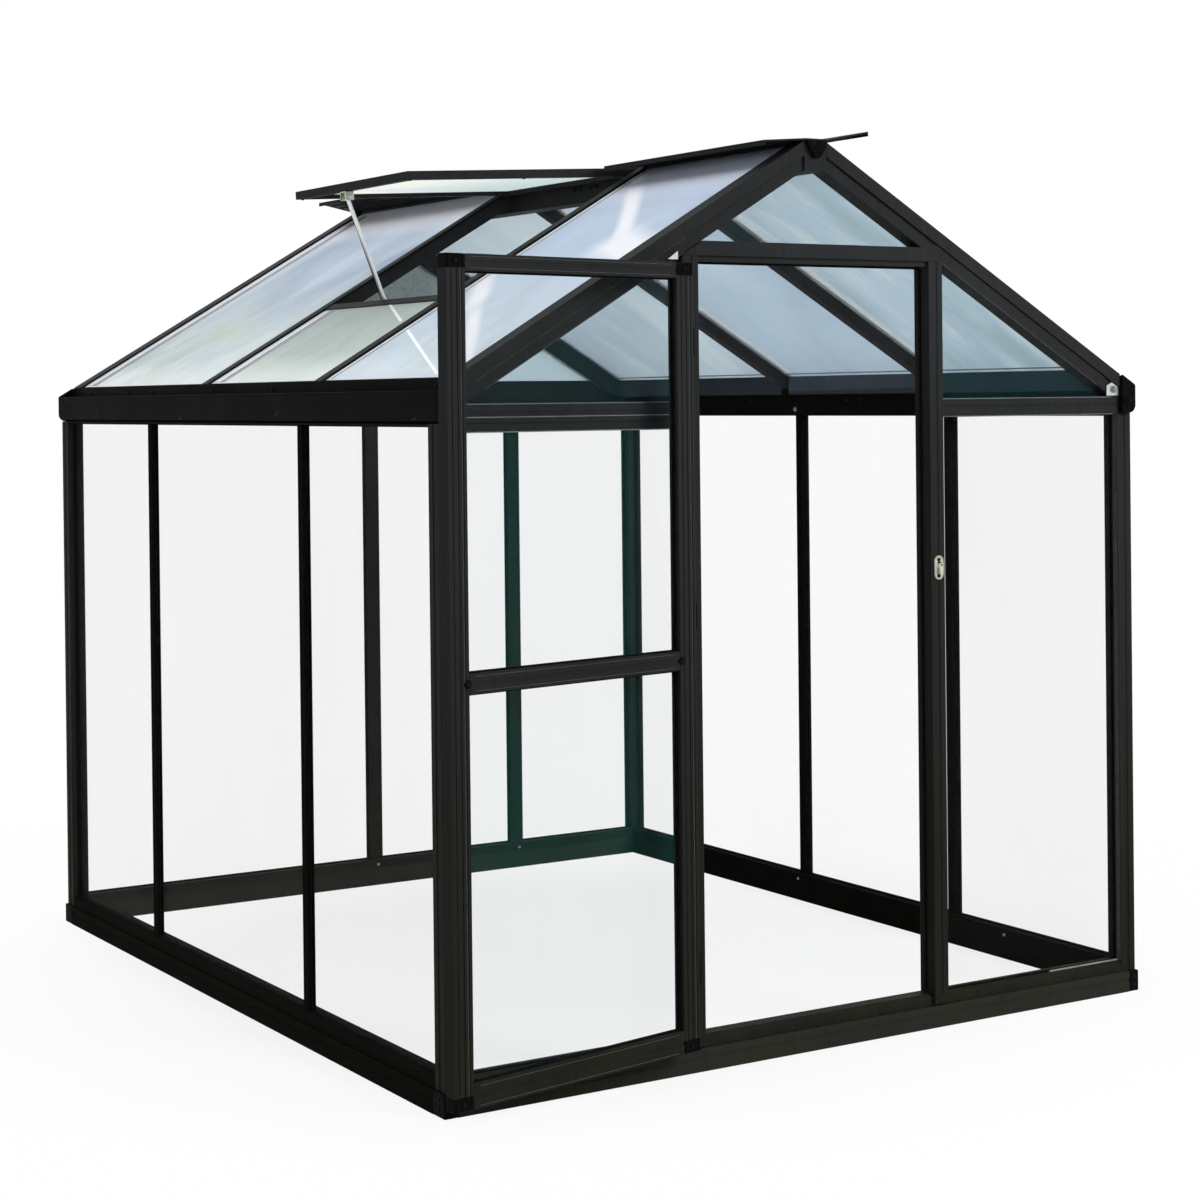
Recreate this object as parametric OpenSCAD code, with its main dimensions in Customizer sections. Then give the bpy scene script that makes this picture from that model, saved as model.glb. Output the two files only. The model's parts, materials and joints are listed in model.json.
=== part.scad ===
// Walk-in garden greenhouse: slim dark metal frame on a low base, clear wall sheets,
// tinted roof sheets, one roof vent propped open and one hinged door.
// X runs across the front, Y from the front to the back, Z up. Millimetres.

/* [House] */
// Width over the side walls
house_w = 1900; // [1800:10:2200]
// Depth from the front wall to the back wall
house_d = 2250; // [2000:10:2800]
// Depth of the front bay
front_bay = 650; // [600:10:800]
// Depth of the middle bay, which holds the roof vent
middle_bay = 660; // [600:10:800]
// Place of the left wall's front mullion, from the front
left_mullion_1 = 680; // [600:10:800]
// Place of the left wall's back mullion, from the front
left_mullion_2 = 1600; // [1300:10:1700]
// Place of the back wall's right mullion, from the middle
back_mullion_x = 488; // [400:2:520]
// Height of the roof surface at the eaves
eave_h = 1478; // [1450:2:1520]
// Height at which the two roof surfaces would meet
ridge_h = 2038; // [2000:2:2150]

/* [Frame] */
// Width and depth of the corner posts
post = 45; // [42:1:50]
// Width of the mullions in the right wall
right_mullion_w = 30; // [20:1:40]
// Width of the mullions in the left wall
left_mullion_w = 22; // [16:1:40]
// Width of the mullions in the back wall
back_mullion_w = 42; // [25:1:50]
// Depth of the mullions
mullion_d = 24; // [20:1:30]
// Depth of the mullions in the left wall, which are slimmer
left_mullion_d = 18; // [16:1:30]
// Thickness of the clear sheets
pane_t = 4; // [3:1:5]

/* [Base] */
// Height of the base rails
base_h = 50; // [40:1:55]
// How far the base stands out beyond the walls
base_step = 6; // [2:1:10]
// Height of the sill bars on the base
sill_h = 27; // [20:1:45]

/* [Roof] */
// Depth of the gable rafters, square to the slope
rafter_d = 58; // [50:1:64]
// Width of the roof bars between the gables
roof_bar_w = 35; // [25:1:45]
// Depth of the roof bars, square to the slope
roof_bar_d = 40; // [32:1:48]
// Half of the width of the ridge cap
cap_reach = 145; // [100:1:180]
// Where the vent opening ends, from the ridge down the slope
vent_run = 655; // [500:5:680]
// Angle of the open vent below level
vent_droop = 3; // [0:0.5:6]
// Width of the gutters
gutter_w = 44; // [40:1:48]
// Height of the gutters
gutter_h = 68; // [60:1:72]

/* [Door] */
// Width of the door jambs
jamb_w = 40; // [36:1:46]
// Half of the distance between the middles of the jambs
jamb_x = 338; // [320:1:350]
// Width of the door leaf
leaf_w = 665; // [640:1:690]
// Thickness of the door leaf
leaf_t = 28; // [24:1:30]
// Height of the bottom of the door leaf
leaf_z = 65; // [60:1:75]
// Height of the door leaf
leaf_h = 1675; // [1600:5:1690]
// Width of the door stiles
stile_w = 48; // [40:1:55]
// Opening angle of the door as it stands
door_angle = 170; // [100:1:176]

/* [Hidden] */
$fn = 48;

frame_colour = [0.20, 0.20, 0.19];
base_colour = [0.13, 0.13, 0.12];
plastic_colour = [0.07, 0.07, 0.07];
silver_colour = [0.75, 0.76, 0.77];
wall_pane_colour = [0.93, 0.94, 0.94, 0.3];
roof_pane_colour = [0.66, 0.75, 0.82, 0.5];

// Plan and slope of the house
half_w = house_w / 2;
bar_ys = [front_bay, front_bay + middle_bay];
left_mullion_ys = [left_mullion_1, left_mullion_2];
back_mullion_xs = [0, back_mullion_x];
fall = (ridge_h - eave_h) / half_w;
pitch = atan(fall);
slope_len = half_w / cos(pitch);
// Far enough past any piece that is cut from a larger one
past = 300;

// Shallow grooves that run along the bars
groove_w = 8;
groove_t = 2;

// Base and sills
corner_block_w = 30;
sill_top = base_h + sill_h;
sill_slope_w = 10;
sill_slope_h = 8;

// Gutters, whose outer faces stand over those of the base
gutter_wall = 3;
gutter_nose = 20;
gutter_cap_t = 8;
gutter_over = 14;
gutter_below = 4;
gutter_z = eave_h - gutter_below - gutter_h;
gutter_x = half_w + base_step - gutter_w;

// Walls
pane_set = 18;
mullion_set = 6;
eave_beam_d = 40;
eave_beam_low_d = 22;
eave_step_h = 56;
eave_shelf = 4;
eave_beam_z = gutter_z - eave_shelf;
eave_lip = 14;
end_beam_h = 38;
end_beam_below = 34;
end_beam_top = eave_h - end_beam_below;
end_beam_z = end_beam_top - end_beam_h;

// Roof
roof_pane_set = 6;
rafter_trim = 6;
ridge_half = 30;
ridge_top = ridge_h - 17;
ridge_over = 6;
rafter_drop = rafter_d / cos(pitch);
ridge_beam_h = 68;
ridge_beam_z = ridge_top - ridge_beam_h;
cap_t = 4;
// Grades at which the wings of the ridge cap rise or dip
cap_up = 0.2;
cap_down = 0.08;
cap_lip_w = 4;
cap_lip_h = 7;
cap_over = 12;
// The ridge end caps have six sides: half widths at the top, bend and foot, with depths below the top.
end_cap_t = 10;
end_cap_top = 28;
end_cap_bend = 22;
end_cap_foot = 8;
end_cap_bend_h = 20;
end_cap_h = 38;

// Vent
vent_y0 = bar_ys[0];
vent_y1 = bar_ys[1];
vent_sill_w = 28;
vent_side_gap = 21;
vent_t = 20;
vent_rim = 26;
vent_bead_r = 7;
vent_hinge_x = ridge_half + vent_bead_r;
vent_hinge_z = ridge_h - 40;
vent_short = 10;
vent_len = vent_run + vent_sill_w - vent_short - vent_hinge_x / cos(pitch);
vent_span = middle_bay - 2 * vent_side_gap;

// The vent stay hangs from a clevis under the leaf's free rim and bends where it passes the sill.
stay_w = 16;
stay_t = 4;
stay_aside = 40;
stay_y = (vent_y0 + vent_y1) / 2 + stay_aside;
stay_eye_r = 5;
stay_gap = 8;
stay_tail_run = 124;
stay_tail_drop = 185;
rest_w = 24;
rest_h = 18;
clevis_w = 28;
clevis_len = 24;
clevis_h = 22;
clevis_plate = 4;
stay_top_x = vent_len - vent_rim / 2;
stay_top_z = 8 - clevis_h;
stay_top = [
    -vent_hinge_x - stay_top_x * cos(vent_droop) - stay_top_z * sin(vent_droop),
    vent_hinge_z - stay_top_x * sin(vent_droop) + stay_top_z * cos(vent_droop)
];
stay_bend = [-(vent_run - stay_gap) * cos(pitch), ridge_h - (vent_run - stay_gap) * sin(pitch)];
stay_tail = [stay_bend[0] + stay_tail_run, stay_bend[1] - stay_tail_drop];

// Doorway
jamb_proud = 8;
jamb_lap = 22;
jamb_outer = jamb_x + jamb_w / 2;
jamb_inner = jamb_x - jamb_w / 2;
header_z = ridge_h - rafter_drop - fall * jamb_outer;
header_h = 32;
header_lip = 12;
latch_z = 1058;
latch_w = 26;
latch_h = 56;
latch_t = 4;

// The door leaf is drawn closed, from its hinge axis: X across it, Y to the inside.
door_gap = 14;
leaf_edge = 12;
leaf_front = -9;
leaf_back = leaf_front + leaf_t;
leaf_top = leaf_z + leaf_h;
hinge_side = 2;
hinge_x = -jamb_outer - hinge_side;
hinge_y = -jamb_proud - door_gap - leaf_back;
pin_r = 3;
bore_r = 3.3;
knuckle_r = 6.5;
knuckle_h = 24;
knuckle_gap = 1;
hinge_h = 58;
hinge_plate = 3;
hinge_flange = 28;
hinge_inset = 170;
hinge_middle = 0.55;
hinge_zs = [leaf_z + hinge_inset, leaf_z + leaf_h * hinge_middle, leaf_top - hinge_inset];
door_block_h = 28;
top_rail_h = 34;
mid_rail_h = 40;
mid_rail_up = 813;
mid_rail_z = leaf_z + mid_rail_up;
bottom_rail_h = 50;

// The origin is on the ground under the middle of the whole object, with its door open.
swing = 180 - door_angle;
door_front = (leaf_edge + leaf_w) * sin(swing) + leaf_back * cos(swing) - hinge_y;
door_side = (leaf_edge + leaf_w) * cos(swing) - leaf_front * sin(swing) - hinge_x;
middle_x = (max(door_side, half_w + base_step) - half_w - base_step) / 2;
front_y = (door_front - house_d - ridge_over - end_cap_t) / 2;

// Places and cutting shapes

module house() {
    translate([middle_x, front_y, 0]) children();
}

module both_sides() {
    children();
    mirror([1, 0, 0]) children();
}

module both_ends() {
    children();
    translate([0, house_d, 0]) mirror([0, 1, 0]) children();
}

// An outline drawn in X and Z, carried along Y.
module along_y(y0, y1) {
    translate([0, y1, 0]) rotate([90, 0, 0]) linear_extrude(y1 - y0) children();
}

// An outline drawn in Y and Z, carried along X.
module along_x(x0, x1) {
    translate([x0, 0, 0]) rotate([90, 0, 90]) linear_extrude(x1 - x0) children();
}

// The right slope of the roof, with X down the slope and Z out of the roof.
module on_slope() {
    translate([0, 0, ridge_h]) rotate([0, pitch, 0]) children();
}

// The outline of the gable below a line that lies under the roof surface by this drop.
module under_roof(drop) {
    polygon([
        [-half_w - past, 0],
        [half_w + past, 0],
        [half_w + past, ridge_h - drop - fall * (half_w + past)],
        [0, ridge_h - drop],
        [-half_w - past, ridge_h - drop - fall * (half_w + past)]
    ]);
}

// Base

module base_rail_outline() {
    difference() {
        square([post + base_step, base_h]);
        translate([post + base_step - groove_t, base_h / 2]) square([groove_t + 1, groove_w]);
    }
}

module base_side_rails() {
    color(base_colour) house() both_sides()
        along_y(post, house_d - post)
            translate([half_w - post, 0]) base_rail_outline();
}

module base_end_rails() {
    end = half_w + base_step - corner_block_w;
    color(base_colour) house() both_ends()
        along_x(-end, end)
            translate([post, 0]) mirror([1, 0]) base_rail_outline();
}

module base_corner_blocks() {
    color(plastic_colour) house() both_ends() both_sides()
        translate([half_w + base_step - corner_block_w, -base_step, 0])
            cube([corner_block_w, post + base_step, base_h]);
}

// The sills fall to the outside along their outer edge.
module sill_outline() {
    polygon([
        [0, 0], [post, 0], [post, sill_h - sill_slope_h], [post - sill_slope_w, sill_h], [0, sill_h]
    ]);
}

module side_sills() {
    color(frame_colour) house() both_sides()
        along_y(post, house_d - post)
            translate([half_w - post, base_h]) sill_outline();
}

module end_sills() {
    color(frame_colour) house() both_ends()
        along_x(post - half_w, half_w - post)
            translate([post, base_h]) mirror([1, 0]) sill_outline();
}

// Walls

// A post is notched for the gutter, which rests on its outer part.
module corner_posts() {
    color(frame_colour) house() both_ends() both_sides() {
        translate([half_w - post, 0, base_h]) linear_extrude(gutter_z - base_h) difference() {
            square(post);
            translate([(post - groove_w) / 2, -1]) square([groove_w, groove_t + 1]);
            translate([post - groove_t, (post - groove_w) / 2]) square([groove_t + 1, groove_w]);
        }
        along_y(0, post) intersection() {
            under_roof(rafter_drop);
            translate([half_w - post, gutter_z]) square([gutter_x - half_w + post, gutter_h]);
        }
    }
}

// A mullion stands between its sill and its beam, with one groove in its outer face, at Y = 0.
module mullion(w, d, h) {
    translate([-w / 2, 0, sill_top]) linear_extrude(h) difference() {
        square([w, d]);
        translate([(w - groove_w) / 2, -1]) square([groove_w, groove_t + 1]);
    }
}

module side_mullions(ys, w, d) {
    for (y = ys)
        translate([half_w - mullion_set, y, 0])
            rotate([0, 0, 90]) mullion(w, d, eave_beam_z - sill_top);
}

module right_wall_mullions() {
    color(frame_colour) house() side_mullions(bar_ys, right_mullion_w, mullion_d);
}

module left_wall_mullions() {
    color(frame_colour) house() mirror([1, 0, 0])
        side_mullions(left_mullion_ys, left_mullion_w, left_mullion_d);
}

module back_wall_mullions() {
    color(frame_colour) house()
        for (x = back_mullion_xs)
            translate([x, house_d - mullion_set, 0])
                mirror([0, 1, 0]) mullion(back_mullion_w, mullion_d, end_beam_z - sill_top);
}

// The jambs stand proud of the front wall and lap over the face of the sill.
module jamb() {
    translate([jamb_inner, -jamb_proud, sill_top]) linear_extrude(header_z - sill_top) difference() {
        square([jamb_w, jamb_proud + post]);
        translate([(jamb_w - groove_w) / 2, -1]) square([groove_w, groove_t + 1]);
    }
    translate([jamb_inner, -jamb_proud, sill_top - jamb_lap])
        cube([jamb_w, jamb_proud, jamb_lap]);
}

module door_jamb_right() {
    color(frame_colour) house() jamb();
}

module door_jamb_left() {
    color(frame_colour) house() mirror([1, 0, 0]) jamb();
}

// The header has a lip on its underside, between the jambs.
module door_header() {
    color(frame_colour) house() {
        along_y(-jamb_proud, post) intersection() {
            under_roof(rafter_drop);
            translate([-jamb_outer, header_z]) square([2 * jamb_outer, header_h]);
        }
        translate([-jamb_inner, 0, header_z - header_lip])
            cube([2 * jamb_inner, post, header_lip + 1]);
    }
}

// A side beam is thinner below. It has a shelf under the gutter and a lip along the edge of the sheets.
// The roof bars are let into it.
module side_eave_beams() {
    color(frame_colour) house() both_sides() difference() {
        along_y(post, house_d - post) {
            intersection() {
                under_roof((roof_pane_set + pane_t) / cos(pitch));
                union() {
                    translate([gutter_x - eave_beam_low_d, eave_beam_z])
                        square([eave_beam_low_d, eave_h]);
                    translate([gutter_x - eave_beam_d, eave_beam_z + eave_step_h])
                        square([eave_beam_d, eave_h]);
                }
            }
            intersection() {
                under_roof(roof_pane_set / cos(pitch));
                translate([gutter_x - eave_lip, eave_beam_z]) square([eave_lip, eave_h]);
            }
            translate([gutter_x - 1, eave_beam_z]) square([half_w - gutter_x + 1, eave_shelf]);
        }
        right_bars();
    }
}

module end_beam(x0, x1) {
    intersection() {
        along_y(0, post) under_roof(rafter_drop);
        along_x(x0, x1) translate([0, end_beam_z]) difference() {
            square([post, end_beam_h]);
            translate([-1, (end_beam_h - groove_w) / 2]) square([groove_t + 1, groove_w]);
        }
    }
}

module front_eave_beams() {
    color(frame_colour) house() both_sides() end_beam(jamb_outer, half_w - post);
}

module back_eave_beam() {
    color(frame_colour) house()
        translate([0, house_d, 0]) mirror([0, 1, 0]) end_beam(post - half_w, half_w - post);
}

// Gutters

// The outside of a gutter, with a round nose at its outer lower edge, shrunk by a wall.
module gutter_outline(wall) {
    translate([wall, wall]) square([gutter_w - gutter_nose - wall, gutter_h - wall]);
    translate([gutter_w - gutter_nose, gutter_nose]) circle(gutter_nose - wall);
    translate([gutter_w - gutter_nose - 1, gutter_nose])
        square([gutter_nose - wall + 1, gutter_h - gutter_nose]);
}

module gutters() {
    color(frame_colour) house() both_sides()
        along_y(gutter_cap_t - gutter_over, house_d + gutter_over - gutter_cap_t)
            translate([gutter_x, gutter_z]) difference() {
                gutter_outline(0);
                translate([0, 1]) gutter_outline(gutter_wall);
            }
}

// The end caps carry on the slope of the roof over the ends of the gutters.
module gutter_end_caps() {
    color(plastic_colour) house() both_ends() both_sides()
        along_y(-gutter_over, gutter_cap_t - gutter_over) {
            translate([gutter_x, gutter_z]) gutter_outline(0);
            intersection() {
                under_roof(0);
                translate([gutter_x, eave_h - gutter_nose]) square([gutter_w, 2 * gutter_nose]);
            }
        }
}

// Roof frame

// The space from the right side of the ridge beam out to this distance from the middle.
module slope_space(reach) {
    translate([ridge_half, -past, 0]) cube([reach - ridge_half, house_d + 2 * past, 2 * ridge_h]);
}

// The outer half of a gable rafter stands forward of its inner half.
module gable_rafter() {
    intersection() {
        slope_space(gutter_x);
        on_slope() along_x(-past, slope_len + past) {
            translate([0, -rafter_d]) square([post, rafter_d / 2]);
            translate([-rafter_trim, -rafter_d / 2]) square([post + rafter_trim, rafter_d / 2]);
        }
    }
}

module front_rafters() {
    color(frame_colour) house() both_sides() gable_rafter();
}

module back_rafters() {
    color(frame_colour) house()
        translate([0, house_d, 0]) mirror([0, 1, 0]) both_sides() gable_rafter();
}

module right_bars() {
    intersection() {
        slope_space(gutter_x);
        on_slope() along_x(-past, slope_len + past)
            for (y = bar_ys)
                translate([y - roof_bar_w / 2, -roof_bar_d]) square([roof_bar_w, roof_bar_d]);
    }
}

module right_roof_bars() {
    color(frame_colour) house() right_bars();
}

module left_roof_bars() {
    color(frame_colour) house() mirror([1, 0, 0]) right_bars();
}

module ridge_beam() {
    color(frame_colour) house()
        translate([-ridge_half, -ridge_over, ridge_beam_z])
            cube([2 * ridge_half, house_d + 2 * ridge_over, ridge_beam_h]);
}

// Height of the underside of a ridge cap wing over the ridge beam, for a wing that rises at this grade
function wing_rise(x, grade) = grade * (x - ridge_half);

// One wing of the ridge cap, which is flat on the ridge beam
module cap_wing(y0, y1, grade) {
    rise = wing_rise(cap_reach, grade);
    along_y(y0, y1) translate([0, ridge_top])
        polygon([
            [-1, 0], [ridge_half, 0], [cap_reach, rise],
            [cap_reach, rise + cap_t], [ridge_half, cap_t], [-1, cap_t]
        ]);
}

// The right wing and the one behind the vent rise a little, and the front left wing dips.
// There is no left wing where the vent is.
module ridge_cap() {
    color(frame_colour) house() {
        cap_wing(-cap_over, house_d + cap_over, cap_up);
        mirror([1, 0, 0]) cap_wing(-cap_over, vent_y0, -cap_down);
        mirror([1, 0, 0]) cap_wing(vent_y1, house_d + cap_over, cap_up);
        translate([-ridge_half, vent_y0 - 1, ridge_top])
            cube([ridge_half, vent_y1 - vent_y0 + 2, cap_t]);
    }
}

module cap_lip(y0, y1, grade) {
    inner = cap_reach - cap_lip_w;
    rise = wing_rise(cap_reach, grade);
    along_y(y0, y1) translate([0, ridge_top])
        polygon([
            [inner, wing_rise(inner, grade)], [cap_reach, rise],
            [cap_reach, rise - cap_lip_h], [inner, rise - cap_lip_h]
        ]);
}

// The turned-down edges of the ridge cap
module ridge_cap_lips() {
    color(frame_colour) house() {
        cap_lip(-cap_over, house_d + cap_over, cap_up);
        mirror([1, 0, 0]) cap_lip(-cap_over, vent_y0, -cap_down);
        mirror([1, 0, 0]) cap_lip(vent_y1, house_d + cap_over, cap_up);
    }
}

module ridge_end_caps() {
    color(plastic_colour) house() both_ends()
        along_y(-ridge_over - end_cap_t, -ridge_over) translate([0, ridge_top])
            polygon([
                [-end_cap_top, 0],
                [end_cap_top, 0],
                [end_cap_bend, -end_cap_bend_h],
                [end_cap_foot, -end_cap_h],
                [-end_cap_foot, -end_cap_h],
                [-end_cap_bend, -end_cap_bend_h]
            ]);
}

// Roof vent in the middle bay of the left slope

module vent_sill() {
    color(frame_colour) house() mirror([1, 0, 0]) on_slope()
        translate([vent_run, vent_y0 + roof_bar_w / 2, -roof_bar_d])
            cube([vent_sill_w, middle_bay - roof_bar_w, roof_bar_d - roof_pane_set / 2]);
}

// The open leaf, with X out from the hinge.
module on_vent() {
    mirror([1, 0, 0])
        translate([vent_hinge_x, vent_y0 + vent_side_gap, vent_hinge_z])
            rotate([0, vent_droop, 0]) children();
}

module vent_opening(h) {
    translate([vent_rim, vent_rim, 0])
        cube([vent_len - 2 * vent_rim, vent_span - 2 * vent_rim, h]);
}

module vent_frame() {
    color(frame_colour) house() on_vent() {
        difference() {
            cube([vent_len, vent_span, vent_t]);
            translate([0, 0, -1]) vent_opening(vent_t + 2);
        }
        translate([0, vent_span, vent_bead_r]) rotate([90, 0, 0]) cylinder(r = vent_bead_r, h = vent_span);
    }
}

module vent_pane() {
    color(roof_pane_colour) house() on_vent()
        translate([0, 0, vent_t / 2]) vent_opening(pane_t);
}

// A flat strip between two points of an upright plane.
module strip(a, b, t) {
    d = b - a;
    translate(a) rotate(atan2(d[1], d[0])) translate([0, -t / 2]) square([norm(d), t]);
}

module stay_outline() {
    translate(stay_top) circle(stay_eye_r);
    strip(stay_top, stay_bend, stay_t);
    translate(stay_bend) circle(stay_t / 2);
    strip(stay_bend, stay_tail, stay_t);
}

module vent_stay() {
    color(silver_colour) house() along_y(stay_y - stay_w / 2, stay_y + stay_w / 2) stay_outline();
}

// A clevis: a plate under the leaf's free rim, with one cheek on each side of the stay's eye.
module vent_stay_bracket() {
    cheek = (clevis_w - stay_w) / 2;
    color(silver_colour) house() on_vent()
        translate([stay_top_x - clevis_len / 2, vent_span / 2 + stay_aside - clevis_w / 2, -clevis_h]) {
            translate([0, 0, clevis_h - clevis_plate]) cube([clevis_len, clevis_w, clevis_plate]);
            cube([clevis_len, cheek, clevis_h]);
            translate([0, clevis_w - cheek, 0]) cube([clevis_len, cheek, clevis_h]);
        }
}

// A block on the upper face of the vent sill, which the stay leans on where it bends.
module vent_stay_rest() {
    color(plastic_colour) house() along_y(stay_y - rest_w / 2, stay_y + rest_w / 2) difference() {
        mirror([1, 0]) translate([0, ridge_h]) rotate(-pitch)
            translate([vent_run - stay_gap, -roof_pane_set - rest_h]) square([stay_gap, rest_h]);
        stay_outline();
    }
}

// Clear sheets

// The edges of the sheets between two posts, with bars of this width at these places.
function sheet_starts(a, places, w) = concat([a], [for (p = places) p + w / 2]);
function sheet_ends(b, places, w) = concat([for (p = places) p - w / 2], [b]);

module side_panes(ys, w) {
    y0s = sheet_starts(post, ys, w);
    y1s = sheet_ends(house_d - post, ys, w);
    for (i = [0 : len(ys)])
        translate([half_w - pane_set - pane_t, y0s[i], sill_top])
            cube([pane_t, y1s[i] - y0s[i], eave_beam_z - sill_top]);
}

module right_wall_panes() {
    color(wall_pane_colour) house() side_panes(bar_ys, right_mullion_w);
}

module left_wall_panes() {
    color(wall_pane_colour) house() mirror([1, 0, 0]) side_panes(left_mullion_ys, left_mullion_w);
}

module front_wall_panes() {
    color(wall_pane_colour) house() both_sides()
        translate([jamb_outer, pane_set, sill_top])
            cube([half_w - post - jamb_outer, pane_t, end_beam_z - sill_top]);
}

module back_wall_panes() {
    x0s = sheet_starts(post - half_w, back_mullion_xs, back_mullion_w);
    x1s = sheet_ends(half_w - post, back_mullion_xs, back_mullion_w);
    color(wall_pane_colour) house()
        for (i = [0 : len(back_mullion_xs)])
            translate([x0s[i], house_d - pane_set - pane_t, sill_top])
                cube([x1s[i] - x0s[i], pane_t, end_beam_z - sill_top]);
}

// The part of a gable between two heights and out to a half width.
module gable_sheet(z0, reach) {
    intersection() {
        under_roof(rafter_drop);
        translate([-reach, z0]) square([2 * reach, ridge_beam_z - z0]);
    }
}

module front_gable_panes() {
    color(roof_pane_colour) house() along_y(pane_set, pane_set + pane_t) {
        gable_sheet(header_z + header_h, half_w);
        difference() {
            gable_sheet(end_beam_top, half_w);
            translate([-jamb_outer, 0]) square([2 * jamb_outer, ridge_h]);
        }
    }
}

module back_gable_pane() {
    color(roof_pane_colour) house()
        along_y(house_d - pane_set - pane_t, house_d - pane_set) gable_sheet(end_beam_top, half_w);
}

// The sheets of the right slope, from this far down the slope in each bay.
module slope_panes(starts) {
    y0s = sheet_starts(post, bar_ys, roof_bar_w);
    y1s = sheet_ends(house_d - post, bar_ys, roof_bar_w);
    intersection() {
        slope_space(gutter_x - eave_lip);
        on_slope()
            for (i = [0 : len(bar_ys)])
                translate([starts[i], y0s[i], -roof_pane_set - pane_t])
                    cube([slope_len - starts[i] + past, y1s[i] - y0s[i], pane_t]);
    }
}

module right_roof_panes() {
    color(roof_pane_colour) house() slope_panes([-past, -past, -past]);
}

module left_roof_panes() {
    color(roof_pane_colour) house() mirror([1, 0, 0])
        slope_panes([-past, vent_run + vent_sill_w, -past]);
}

// Latch and hinges

module latch_keep() {
    color(silver_colour) house() along_y(-jamb_proud - latch_t, -jamb_proud)
        translate([jamb_x, latch_z]) {
            translate([-latch_w / 2, -latch_h / 2 + latch_w / 2]) square([latch_w, latch_h - latch_w]);
            translate([0, latch_h / 2 - latch_w / 2]) circle(latch_w / 2);
            translate([0, latch_w / 2 - latch_h / 2]) circle(latch_w / 2);
        }
}

module jamb_hinges() {
    web = -hinge_y - jamb_proud;
    door_part = knuckle_h + 2 * knuckle_gap;
    color(plastic_colour) house()
        for (z = hinge_zs) translate([hinge_x, hinge_y, z]) {
            translate([0, 0, -hinge_h / 2]) cylinder(r = pin_r, h = hinge_h);
            for (side = [-1, 1])
                translate([0, 0, side * (hinge_h + door_part) / 4])
                    jamb_knuckle((hinge_h - door_part) / 2, web);
            translate([-hinge_plate / 2, web - hinge_plate, -hinge_h / 2])
                cube([hinge_flange, hinge_plate, hinge_h]);
        }
}

module jamb_knuckle(h, web) {
    translate([0, 0, -h / 2]) {
        cylinder(r = knuckle_r, h = h);
        translate([-hinge_plate / 2, 0, 0]) cube([hinge_plate, web, h]);
    }
}

// Door leaf

module leaf() {
    house() translate([hinge_x, hinge_y, 0]) rotate([0, 0, -door_angle]) children();
}

module door_hinges() {
    color(plastic_colour) leaf()
        for (z = hinge_zs) translate([0, 0, z]) {
            difference() {
                translate([0, 0, -knuckle_h / 2]) {
                    cylinder(r = knuckle_r, h = knuckle_h);
                    translate([0, -hinge_plate / 2, 0]) cube([leaf_edge, hinge_plate, knuckle_h]);
                }
                translate([0, 0, -knuckle_h]) cylinder(r = bore_r, h = 2 * knuckle_h);
            }
            translate([leaf_edge - hinge_plate, leaf_front, -hinge_h / 2])
                cube([hinge_plate, leaf_t, hinge_h]);
        }
}

// Both upright edges of the leaf, for a piece drawn from the outer edge inwards.
module both_leaf_edges() {
    translate([leaf_edge, 0, 0]) children();
    translate([leaf_edge + leaf_w, 0, 0]) mirror([1, 0, 0]) children();
}

module door_stiles() {
    color(frame_colour) leaf() both_leaf_edges()
        translate([0, leaf_front, leaf_z + door_block_h])
            linear_extrude(leaf_h - 2 * door_block_h) difference() {
                square([stile_w, leaf_t]);
                translate([(stile_w - groove_w) / 2, -1]) square([groove_w, groove_t + 1]);
                translate([(stile_w - groove_w) / 2, leaf_t - groove_t]) square([groove_w, groove_t + 1]);
            }
}

module door_corner_blocks() {
    color(plastic_colour) leaf() both_leaf_edges()
        for (z = [leaf_z, leaf_top - door_block_h])
            translate([0, leaf_front, z]) cube([stile_w, leaf_t, door_block_h]);
}

module door_rail(z, h) {
    translate([0, 0, z]) along_x(leaf_edge + stile_w, leaf_edge + leaf_w - stile_w) difference() {
        translate([leaf_front, 0]) square([leaf_t, h]);
        translate([leaf_front - 1, (h - groove_w) / 2]) square([groove_t + 1, groove_w]);
        translate([leaf_back - groove_t, (h - groove_w) / 2]) square([groove_t + 1, groove_w]);
    }
}

module door_rails() {
    color(frame_colour) leaf() {
        door_rail(leaf_z, bottom_rail_h);
        door_rail(mid_rail_z, mid_rail_h);
        door_rail(leaf_top - top_rail_h, top_rail_h);
    }
}

module door_sheet(z0, z1) {
    translate([leaf_edge + stile_w, (leaf_front + leaf_back - pane_t) / 2, z0])
        cube([leaf_w - 2 * stile_w, pane_t, z1 - z0]);
}

module door_panes() {
    color(wall_pane_colour) leaf() {
        door_sheet(leaf_z + bottom_rail_h, mid_rail_z);
        door_sheet(mid_rail_z + mid_rail_h, leaf_top - top_rail_h);
    }
}

base_side_rails();
base_end_rails();
base_corner_blocks();
side_sills();
end_sills();
corner_posts();
left_wall_mullions();
right_wall_mullions();
back_wall_mullions();
door_jamb_left();
door_jamb_right();
door_header();
side_eave_beams();
front_eave_beams();
back_eave_beam();
gutters();
gutter_end_caps();
front_rafters();
back_rafters();
left_roof_bars();
right_roof_bars();
ridge_beam();
ridge_cap();
ridge_cap_lips();
ridge_end_caps();
vent_sill();
vent_frame();
vent_pane();
vent_stay();
vent_stay_bracket();
vent_stay_rest();
left_wall_panes();
right_wall_panes();
front_wall_panes();
back_wall_panes();
front_gable_panes();
back_gable_pane();
left_roof_panes();
right_roof_panes();
latch_keep();
jamb_hinges();
door_hinges();
door_stiles();
door_rails();
door_panes();
door_corner_blocks();
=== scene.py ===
"""Looks for the greenhouse: softened bars, hazy roof sheets, seals, trim, screws and fittings."""
import json
import math

import bmesh
import bpy
from mathutils import Matrix, Vector


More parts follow.
